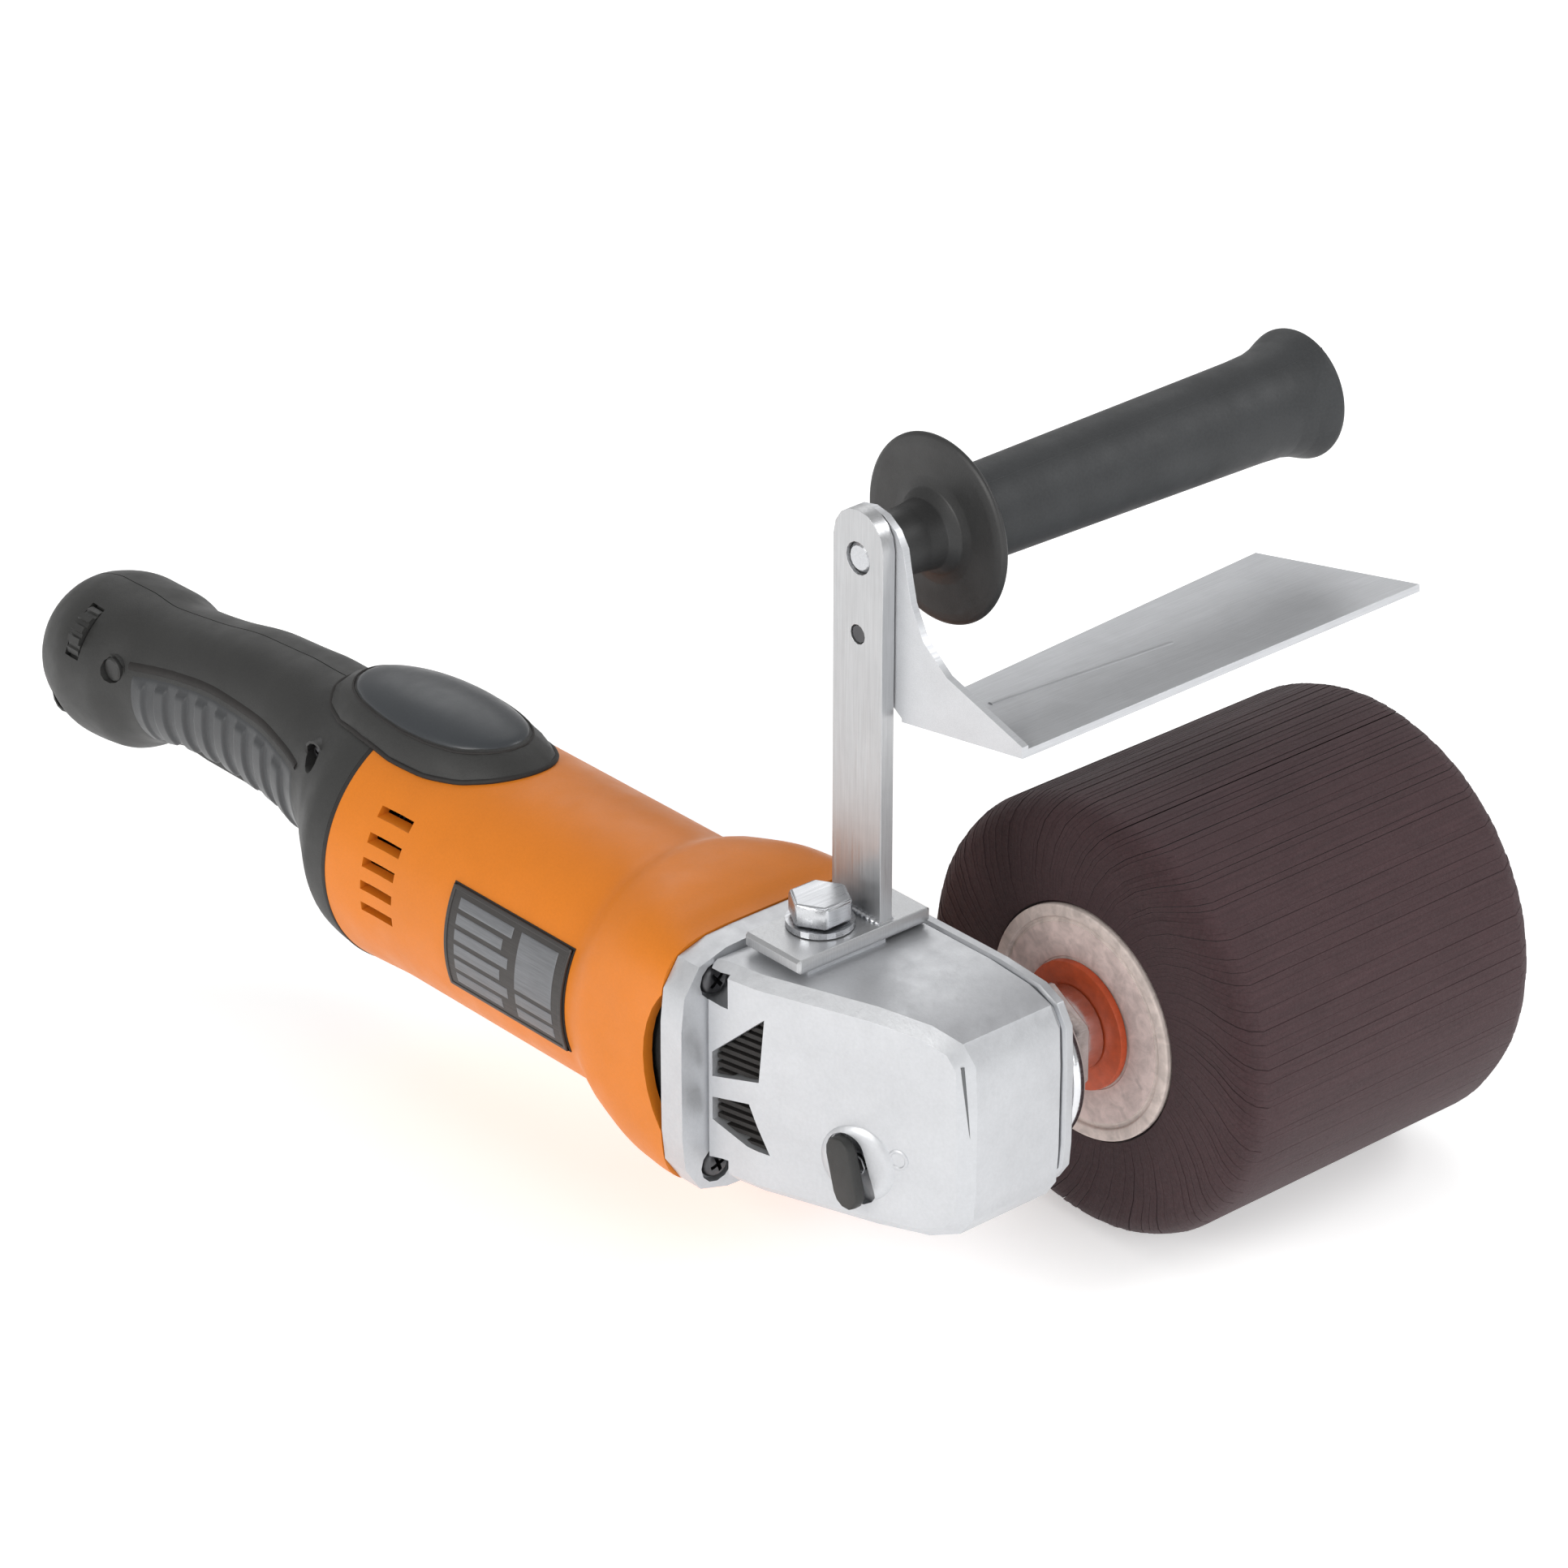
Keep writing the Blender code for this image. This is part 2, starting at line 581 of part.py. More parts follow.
def gears():
    # The ring gear's local +Z is the spindle's +Y; a gap faces the pinion, at local -X.
    gear = bevel_gear("ring_gear", RING_TEETH, PINION_TEETH, 0.6, 1.3, 12.0,
                      math.pi + math.pi / RING_TEETH)
    gear.rotation_euler = REVOLVED["Y"]
    cut(gear, cylinder("gear_bore", "Y", -5, 20, 6.3, segments=16), body="spindle_assembly")
    for quarter in range(4):
        angle = math.radians(-90 + 90 * quarter)
        at = (LOCK_PIN_CIRCLE * math.cos(angle), LOCK_PIN_CIRCLE * math.sin(angle))
        cut(gear, cylinder("lock_hole", "Y", 2, 10.5, 2.4, at, 8), body="spindle_assembly")
    piece(gear, DARK_STEEL, "spindle_assembly")
    # The pinion's local +Z is the motor's -X; a tooth faces the ring gear, at +Y.
    pinion = bevel_gear("pinion", PINION_TEETH, RING_TEETH, 1.1, 0.8, 30.0, math.pi / 2)
    pinion.rotation_euler = (0, -math.pi / 2, 0)
    cut(pinion, cylinder("pinion_bore", "X", -32, -10, 4.2, segments=14), body="armature")
    piece(pinion, DARK_STEEL, "armature")


# ---- spindle and drum ------------------------------------------------------------
def spindle():
    profile = [(0, -12.8), (3.4, -12.8), (4, -12.2), (4, -3.2), (6, -3.2), (6, 12.3),
               (7.5, 12.3), (7.5, 25.4), (10.4, 25.4), (10.4, 33.8),
               (SPINDLE_THREAD_RADIUS, 33.8), (SPINDLE_THREAD_RADIUS, SPINDLE_END - 1),
               (SPINDLE_THREAD_RADIUS - 1, SPINDLE_END), (0, SPINDLE_END)]
    piece(turned("spindle", "Y", profile, segments=16), STEEL, "spindle_assembly")
    piece(ring("gear_retaining_ring", "Y", 4.4, 5.4, 6.3, 8.8, segments=20), DARK_STEEL,
          "spindle_assembly")
    piece(ring("spindle_bush", "Y", -13.2, -3.6, 4.3, 6.3, segments=20), BRASS)
    bearing("spindle_bearing", "Y", 15.4, 25.2, 7.8, 16.0)


def bearing(name, axis, start, end, bore, radius, body="root"):
    """Sealed ball bearing, as one ring with the outer edges broken."""
    return piece(ring(name, axis, start, end, bore, radius, segments=20, edge=0.6), STEEL, body)


def drum_hardware():
    """Everything clamped on the spindle, in order from the gear head outwards."""
    body = "spindle_assembly"
    bore = SPINDLE_THREAD_RADIUS + GAP
    flange = turned("inner_flange", "Y", [(bore, 34.1), (24, 34.1), (24.6, 34.8), (24.6, 37.4),
                                          (23.6, 38.6), (14.5, 39.2), (14, 41.2), (bore, 41.2)],
                    segments=28)
    piece(flange, STEEL, body)
    nut = bevel(slab("drive_nut", "Y", 41.5, 50.3, polygon(15.6, 6, 30)), 0.8, 1)
    join(nut, cylinder("nut_collar", "Y", 49, 56.7, 11.5, segments=24), body=body)
    cut(nut, cylinder("nut_bore", "Y", 38, 60, bore, segments=16), body=body)
    piece(nut, STEEL, body)
    piece(ring("inner_washer", "Y", 57.0, 59.2, bore, 17.5, segments=28), RED_WASHER, body)
    for name, start in (("near_core_flange", 59.5), ("far_core_flange", DRUM_END - 1.1)):
        piece(ring(name, "Y", start, start + 1.6, bore, CORE_FLANGE_RADIUS, segments=28), CORE,
              body)
    core = turned("drum_core", "Y", [(bore, 61.4), (29.6, 61.4), (29.6, DRUM_END - 1.4),
                                     (bore, DRUM_END - 1.4)], segments=24)
    piece(core, CORE, body)
    piece(ring("outer_washer", "Y", DRUM_END + 0.8, DRUM_END + 3.0, bore, 17.5, segments=24),
          STEEL, body)
    nut = bevel(slab("clamp_nut", "Y", DRUM_END + 3.3, DRUM_END + 9, polygon(12.7, 6, 0)), 0.8, 1)
    cut(nut, cylinder("clamp_bore", "Y", 160, 180, bore, segments=24), body=body)
    piece(nut, STEEL, body)


def abrasive_flaps():
    """The resin-bonded pack of abrasive leaves as one ring with rounded rims."""
    inner, pocket = 29.9, CORE_FLANGE_RADIUS + 0.4
    near = [(inner, 61.6), (pocket, 61.6), (pocket, DRUM_START)]
    rim = DRUM_RADIUS - DRUM_EDGE
    near_arc = arc((DRUM_START + DRUM_EDGE, rim), DRUM_EDGE, 180, 90, 3)
    far_arc = arc((DRUM_END - DRUM_EDGE, rim), DRUM_EDGE, 90, 0, 3)
    far = [(pocket, DRUM_END), (pocket, DRUM_END - 1.6), (inner, DRUM_END - 1.6)]
    profile = near + [(r, y) for y, r in near_arc + far_arc] + far
    piece(turned("abrasive_flaps", "Y", profile, segments=40), FLAPS, "spindle_assembly")


# ---- motor -----------------------------------------------------------------------
def armature():
    body = "armature"
    shaft = [(0, -206), (4, -206), (4, -197.4), (5.4, -197.4), (5.4, -51), (4.6, -51),
             (4.6, -38.4), (3.9, -38.4), (3.9, -10), (0, -10)]
    piece(turned("armature_shaft", "X", shaft, segments=20), STEEL, body)
    slots = 12
    outline = []
    for slot in range(slots):
        start = 360 / slots * slot
        outline += arc((0, 0), 20.4, start + 6, start + 24, 2)
        outline += arc((0, 0), 14.4, start + 26, start + 34, 1)
    core = slab("rotor_core", "X", -164, -112, outline)
    cut(core, cylinder("rotor_bore", "X", -170, -106, 5.7, segments=20), body=body)
    piece(core, LAMINATION, body)
    windings = ring("armature_windings", "X", -170.5, -164.5, 5.8, 17.5, segments=20)
    front = ring("front_turns", "X", -111.5, -105.5, 5.8, 17.5, segments=20)
    in_slots = bars("slot_wires", "X", -166, -110, 16.2, 1.4, 2.0, slots)
    piece(join(windings, front, in_slots, body=body), COPPER, body)
    commutator = turned("commutator", "X", [(5.7, -189), (12, -189), (12, -174.5),
                                            (13.2, -174.5), (13.2, -171), (5.7, -171)],
                        segments=20)
    piece(commutator, COPPER, body)
    blades = 10
    star = []
    for blade in range(blades):
        middle = 360 / blades * blade
        star += [(r * math.cos(math.radians(middle + a)), r * math.sin(math.radians(middle + a)))
                 for r, a in ((11, -7), (30, -1.6), (30, 1.6), (11, 7))]
    fan = slab("cooling_fan", "X", -84, -72, star)
    join(fan, cylinder("fan_disc", "X", -86, -83.4, 30.4, segments=24), body=body)
    cut(fan, cylinder("fan_bore", "X", -90, -60, 5.7, segments=20), body=body)
    piece(fan, BLACK, body)
    nut = slab("pinion_nut", "X", -14.4, -10.8, polygon(5.4, 6, 0))
    cut(nut, cylinder("pinion_nut_bore", "X", -20, -5, 4.2, segments=16), body=body)
    piece(nut, STEEL, body)


def stator():
    core = ring("stator_core", "X", -162, -114, 21.4, 32.5, segments=32)
    piece(cut(core, bars("coil_slots", "X", -170, -100, 24.5, 9.0, 9.0, 4, 45)), LAMINATION)
    coils = ring("field_coils", "X", -169.4, -162.4, 22, 29.5, segments=20)
    front = ring("front_field_turns", "X", -113.6, -106.6, 22, 29.5, segments=20)
    in_slots = bars("field_slot_wires", "X", -165, -110, 25, 7.0, 5.6, 4, 45)
    piece(join(coils, front, in_slots), COPPER)
    bearing("front_armature_bearing", "X", -49.6, -41.2, 4.9, 13.0)
    bearing("rear_armature_bearing", "X", -205, -198, 4.3, 9.5)
    plate = turned("rear_bearing_plate", "X", [(9.8, -206), (12.5, -206), (12.5, -199.5),
                                               (31.6, -199.5), (31.6, -196), (8.5, -196),
                                               (8.5, -197.4), (9.8, -197.4)], segments=24)
    for side in (1, -1):
        cut(plate, box("air_way", (-202, -13, side * 22 - 6), (-190, 13, side * 22 + 6)))
    piece(plate, BLACK)
    for side, label in ((-1, "left"), (1, "right")):
        ends = sorted((side * 13.5, side * 32))
        holder = box(f"brush_holder_{label}", (-187, ends[0], -5), (-175.5, ends[1], 5))
        hollow = box("brush_way", (-185.6, ends[0] - 2, -3.6), (-176.9, ends[1] + 2, 3.6))
        piece(cut(holder, hollow), BRASS)
        reach = sorted((side * 12.4, side * 25))
        piece(box(f"carbon_brush_{label}", (-185.2, reach[0], -3.2), (-177.3, reach[1], 3.2)),
              CARBON)


def motor_housing():
    """Orange tube from the handle's collar to the gear head's flange."""
    sections = body_stretch(HOUSING_REAR, FLANGE_BACK - GAP)
    outside = [full_ring(s, 0) for s in sections]
    inside = [full_ring(s, -WALL) for s in sections]
    housing = tube("motor_housing", outside + inside[::-1])
    for y, z in corner_screws():
        join(housing, cylinder("corner_post", "X", -64, FLANGE_BACK - 0.6, 5.6, (y, z), 12))
    for y, z in corner_screws():
        cut(housing, cylinder("post_hole", "X", -61, -40, 2.8, (y, z), 8))
    for slot in range(5):
        z = 22 - 6.4 * slot
        cut(housing, box("vent", (-175.5, -50, z - 1.3), (-162.5, 50, z + 1.3)))
    crescent = cylinder("crescent", "Y", -60, -32.4, 32, (FLANGE_BACK - 7 + 32, 3), 40)
    return piece(cut(housing, crescent), ORANGE)


def fan_baffle():
    """Black funnel in the mouth of the motor housing, behind the gear head."""
    stations = ((FLANGE_BACK - GAP, 34.4, 31.6, 5.0), (-64, 32.8, 32.0, 2.4),
                (-67, 31, 31, 2), (-67, 17, 17, 2), (-65, 17, 17, 2), (-63, 29.5, 29.5, 2),
                (FLANGE_BACK - GAP, 32.4, 29.6, 5.0))
    baffle = tube("fan_baffle", [full_ring((x, 0, half_y, half_z, square), 0, 24)
                                 for x, half_y, half_z, square in stations])
    for y, z in corner_screws():
        cut(baffle, cylinder("post_way", "X", -80, -40, 6.2, (y, z), 12))
    return piece(baffle, BLACK)


def rating_plate():
    """Blank data plate bent round the -Y side of the motor housing."""
    near, far = HOUSING_RADIUS + GAP, HOUSING_RADIUS + GAP + 0.7
    outline = arc((0, 0), near, 180 - 27, 180 + 19, 10) + arc((0, 0), far, 180 + 19, 180 - 27, 10)
    return piece(slab("rating_plate", "X", -139, -91, outline), PLATE_GREY)


# ---- rear handle -----------------------------------------------------------------
def half_shell(name, side):
    """One clamshell half: C-shaped sections from the collar to the cord inlet."""
    steps = 10
    rings = []
    for section in body_stretch(HANDLE_REAR, HOUSING_REAR - GAP):
        x, middle, half_y, half_z, squareness = section
        points = []
        for offset, order in ((0, 1), (-WALL, -1)):
            room = max(half_y + offset, INLET_RADIUS + GAP)
            height = max(half_z + offset, INLET_RADIUS + GAP)
            half_ring = []
            for i in range(steps + 1):
                angle = math.pi / 2 - math.pi * i / steps
                y, z = rounded(angle, room, height, squareness)
                half_ring.append((x, side * max(y, GAP / 2), z + middle))
            points += half_ring[::order]
        rings.append(points)
    return loft(name, rings)


def rear_handle():
    for name, side in (("rear_handle_left", -1), ("rear_handle_right", 1)):
        half = half_shell(name, side)
        for x, z in HANDLE_POSTS:
            ends = sorted((side * 0.4, side * (surface_y(x, z) - 1.2)))
            join(half, cylinder("screw_post", "Y", ends[0], ends[1], 4.4, (x, z), 12))
        for x, z in HANDLE_POSTS:
            cut(half, cylinder("screw_way", "Y", -60, 12, 2.0, (x, z), 8))
            if side < 0:
                head_floor = 4.5 - surface_y(x, z)
                cut(half, cylinder("screw_sink", "Y", -60, head_floor, 3.7, (x, z), 12))
        cut(half, box("trigger_slot", (-303.5, -8.7, -30), (-231.5, 8.7, 0)),
            cylinder("pivot_hole", "Y", -11.6, 11.6, 1.8,
                     (TRIGGER_PIVOT[0], TRIGGER_PIVOT[1]), 12))
        if side < 0:
            cut(half, cylinder("dial_slot", "X", DIAL_X - 3, DIAL_X + 3, 10.1, DIAL_AT, 24))
        else:
            cut(half, cylinder("lock_on_hole", "Y", 5, 40, 5.0, LOCK_ON_AT, 20))
        piece(half, BLACK)


def surface_y(x, z):
    """Half width of the outer body at a point, on either side of the middle plane."""
    _, middle, half_y, half_z, squareness = section_at(x)
    share = 1 - abs((z - middle) / half_z) ** squareness
    return half_y * max(share, 0) ** (1 / squareness)


def top_panel():
    """Domed black cover over the joint between motor housing and rear handle."""
    shape = bmesh.new()
    bmesh.ops.create_uvsphere(shape, u_segments=20, v_segments=12, radius=MM)
    bmesh.ops.scale(shape, vec=(45, 20, 15.5), verts=shape.verts)
    dome = from_bmesh("top_panel", shape, (-183, 0, 29))
    under = loft("body_envelope", [full_ring(s, GAP + 0.1, 48)
                                   for s in body_stretch(-250, -120)])
    return piece(cut(dome, under), BLACK)


def trigger():
    x, z = TRIGGER_PIVOT
    outline = [(x - 4, z + 4), (x - 4.6, z - 4), (x + 3, z - 6.4), (x + 14, z - 7.2),
               (x + 46, z - 7.2), (x + 58, z - 6.2), (x + 62.6, z - 4), (x + 62.6, z + 2),
               (x + 56, z + 3.6), (x + 6, z + 4.6)]
    paddle = bevel(slab("trigger", "Y", -8, 8, outline), 1.4, 2)
    cut(paddle, cylinder("trigger_bore", "Y", -12, 12, 1.8, (x, z), 12), body="trigger")
    piece(paddle, BLACK, "trigger")
    piece(cylinder("trigger_pin", "Y", -11.2, 11.2, 1.5, (x, z), 12), STEEL)
    switch = box("switch_body", (-286, -7.5, 7.6), (-254, 7.5, 21))
    piece(bevel(switch, 0.8, 1), BLACK)
    piece(spring("trigger_spring", "Z", 0.5, 7.2, 2.8, 0.45, 2, (-262, 0)), STEEL)


def lock_on_button():
    top = surface_y(*LOCK_ON_AT) + 2.6
    profile = [(0, top), (3.8, top), (4.6, top - 0.8), (4.6, 15), (6.4, 15), (6.4, 13.2),
               (4, 13.2), (4, 11.4), (0, 11.4)]
    piece(turned("lock_on_button", "Y", profile, LOCK_ON_AT, 16), BLACK, "lock_on")


def speed_dial():
    outline = []
    teeth = 16
    for tooth in range(teeth):
        start = 360 / teeth * tooth
        outline += arc((0, 0), 9.4, start, start + 11, 1)
        outline += arc((0, 0), 8.7, start + 13, start + 20, 1)
    dial = slab("speed_dial", "X", DIAL_X - 2.6, DIAL_X + 2.6, outline, DIAL_AT)
    cut(dial, cylinder("dial_bore", "X", DIAL_X - 5, DIAL_X + 5, 1.8, DIAL_AT, 12), body="dial")
    piece(dial, BLACK, "dial")
    controller = box("speed_controller", (DIAL_X - 12, -14.6, -3.5), (DIAL_X - 3.4, 9, 13.8))
    axle = cylinder("dial_axle", "X", DIAL_X - 5, DIAL_X + 3.2, 1.3, DIAL_AT, 12)
    piece(join(controller, axle), BLACK)


def cord_inlet():
    """Bushing in the handle's end, where the mains lead would enter."""
    profile = [(3.8, REAR_END + 1.5), (5.2, REAR_END), (INLET_RADIUS, REAR_END + 0.8),
               (INLET_RADIUS, REAR_END + 11), (5.4, REAR_END + 13), (3.8, REAR_END + 13)]
    piece(turned("cord_inlet", "X", profile, (0, 1.5), 20), RUBBER)


# ---- side handle, bracket and guard ----------------------------------------------
def bracket():
    low, high = BRACKET_X - BAR_WIDTH / 2, BRACKET_X + BAR_WIDTH / 2
    foot = [(BRACKET_X + x, y) for x, y in ((-10.4, -20), (10.4, -20), (10.4, 24), (-10.4, 24))]
    bracket_piece = slab("handle_bracket", "Z", FOOT_UNDER, FOOT_UNDER + FOOT_THICK, foot)
    bevel(bracket_piece, 0.8, 1)
    top = arc((BRACKET_X, BAR_TOP - 9), 9, 0, 180, 8)
    bar = slab("bar", "Y", BAR_FACE, BAR_FACE + BAR_THICK,
               [(low, FOOT_UNDER + 2), (high, FOOT_UNDER + 2), *top])
    join(bracket_piece, bar)
    cut(bracket_piece,
        cylinder("foot_hole", "Z", 30, 42, 5.3, BOLT_AT, 20),
        cylinder("stud_hole", "Y", 0, 20, 4.3, (BRACKET_X, STUD_Z), 16),
        cylinder("guard_hole", "Y", 0, 20, 2.6, (BRACKET_X, GUARD_SCREW_Z), 12))
    piece(bracket_piece, STEEL)
    under = FOOT_UNDER + FOOT_THICK + GAP
    piece(ring("bracket_washer", "Z", under, under + 1.6, 5.3, 8.8, BOLT_AT, 24), STEEL)
    head = under + 1.6 + GAP
    bolt = cylinder("bracket_bolt", "Z", 20, head + 1, 4.7, BOLT_AT, 20)
    hexagon = bevel(slab("hexagon", "Z", head, head + 6.4, polygon(8.5, 6, 30, BOLT_AT)), 0.7, 1)
    join(bolt, hexagon)
    piece(bolt, STEEL)
    shim = [(-38.3, 12.5), (-19.8, 12.5), (-19.8, 23.5), (-38.3, 23.5)]
    piece(slab("bracket_shim", "Z", HEAD_TOP + GAP, FOOT_UNDER - GAP, shim), RUBBER)


def guard():
    """Bent sheet: an upright tab behind the bar, and a plate over the drum."""
    thick, tab_face = 2.0, BAR_FACE + BAR_THICK + GAP
    near_left, near_right = -17.0, 26.0
    rise = math.tan(GUARD_TILT)
    base = 96.0

    def plate_z(x):
        return base + rise * (x - near_left)

    tab = [(near_left, plate_z(near_left)), (near_right, plate_z(near_right)),
           (near_right, plate_z(near_right) + 2), (-1, 113), (-9.5, 119.5), (-14, 128),
           *arc((BRACKET_X, STUD_Z), 12.5, 0, 180, 8), (-39.5, 112), (-36, 108.5)]
    sheet = slab("guard_plate", "Y", tab_face, tab_face + thick, tab)
    length = 1 / math.cos(GUARD_TILT)
    far_left, far_right = -28.0, 24.0
    cover = [(near_left * length, tab_face), (near_right * length, tab_face),
             (near_right * length, 20), (far_right * length, 152), (far_left * length, 146),
             (near_left * length, 20)]
    plate = slab("plate", "Z", -thick / 2, thick / 2, cover, turn=-GUARD_TILT)
    plate.location = Vector((0, 0, plate_z(0))) * MM
    join(sheet, plate)
    cut(sheet,
        cylinder("tab_hole", "Y", 5, 20, 4.4, (BRACKET_X, STUD_Z), 16),
        cylinder("tab_screw_hole", "Y", 5, 20, 2.6, (BRACKET_X, GUARD_SCREW_Z), 12))
    piece(sheet, STEEL)
    screws("guard_screw", "Y", tab_face + thick + GAP, BAR_FACE + 0.4,
           [(BRACKET_X, GUARD_SCREW_Z)], 2.3, 4.6, 2.8, STEEL)


def side_handle():
    across = (BRACKET_X, STUD_Z)
    stud = turned("side_handle_stud", "Y", [(0, BAR_FACE + 0.4), (3.2, BAR_FACE + 0.4),
                                            (4.0, BAR_FACE + 1.2), (4.0, 62), (0, 62)],
                  across, 16)
    piece(stud, STEEL)
    start = BAR_FACE + BAR_THICK + GAP + 2 + GAP
    profile = [(4.3, start), (8.2, start), (8.6, 29), (11, 32.8), (22, 32.8), (24.3, 33.2),
               (24.8, 34.2), (24.2, 35.2), (14, 35.8), (12.4, 38), (12.2, 43),
               (13.8, 143), (14.6, 149), (16.8, 155.5), (17.5, 158), (16.6, 159.6),
               (12, GRIP_END), (0, GRIP_END), (0, 64), (4.3, 62.6)]
    grip = turned("side_handle_grip", "Y", profile[-2:] + profile[:-2], across, 24)
    piece(grip, RUBBER)


gear_housing()
spindle_cover()
screws("gear_housing_screw", "X", FLANGE_FRONT - 3 + GAP, -60.4, corner_screws(), 2.2, 4.4, 3.4,
       DARK_STEEL)
spindle_lock()
gears()
spindle()
drum_hardware()
abrasive_flaps()
armature()
stator()
motor_housing()
fan_baffle()
rating_plate()
rear_handle()
top_panel()
trigger()
lock_on_button()
speed_dial()
cord_inlet()
bracket()
guard()
side_handle()
bpy.context.view_layer.update()
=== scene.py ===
import json
import math
import random

import bmesh
import bpy
from mathutils import Matrix, Vector
from mathutils.bvhtree import BVHTree


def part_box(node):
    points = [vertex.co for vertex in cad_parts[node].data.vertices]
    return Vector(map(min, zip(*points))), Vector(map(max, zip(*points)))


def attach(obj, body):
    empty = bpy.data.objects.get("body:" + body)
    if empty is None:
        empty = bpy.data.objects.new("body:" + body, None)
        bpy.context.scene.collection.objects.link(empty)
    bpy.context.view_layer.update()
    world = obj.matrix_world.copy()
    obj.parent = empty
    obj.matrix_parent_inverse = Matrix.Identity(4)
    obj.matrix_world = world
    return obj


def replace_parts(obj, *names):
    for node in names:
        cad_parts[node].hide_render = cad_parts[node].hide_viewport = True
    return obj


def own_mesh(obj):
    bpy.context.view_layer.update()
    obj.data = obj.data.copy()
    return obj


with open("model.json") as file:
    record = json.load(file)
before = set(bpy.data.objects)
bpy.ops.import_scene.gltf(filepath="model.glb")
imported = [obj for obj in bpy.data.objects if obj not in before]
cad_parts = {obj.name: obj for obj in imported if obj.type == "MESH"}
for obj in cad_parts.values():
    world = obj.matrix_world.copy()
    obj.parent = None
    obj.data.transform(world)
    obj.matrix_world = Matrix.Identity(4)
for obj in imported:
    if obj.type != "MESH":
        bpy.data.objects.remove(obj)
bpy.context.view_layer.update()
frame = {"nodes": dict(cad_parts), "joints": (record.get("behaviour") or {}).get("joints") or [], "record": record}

MM = 0.001
JOINTS = {joint["name"]: joint for joint in frame["joints"]}
CENTRE = Vector(JOINTS["spindle_spin"]["pos_m"])      # spindle axis and motor axis cross here
CAMERA_OFFSET = Vector((0.9640, -0.8845, 0.7675))
CAMERA_TILT, CAMERA_TURN = math.radians(90 - 27.426), math.radians(48.806)
CAMERA_LENS, SENSOR = 139.75, 36.0
SMOOTH_ANGLE = 32        # degrees up to which neighbouring faces shade as one surface
WELD_DISTANCE = 0.01 * MM
WAVE_PERIOD = 0.314      # pitch of the wave texture at scale 1, in its own units


def at(x, y, z):
    """A point given in millimetres from the tool centre."""
    return CENTRE + Vector((x, y, z)) * MM


def span(node, axis):
    """Where a node starts and ends along an axis, in millimetres from the tool centre."""
    column = "XYZ".index(axis)
    return [(corner[column] - CENTRE[column]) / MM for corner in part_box(node)]


def radius_of(node):
    """Half the height of a round node, in millimetres."""
    low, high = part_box(node)
    return (high.z - low.z) / 2 / MM


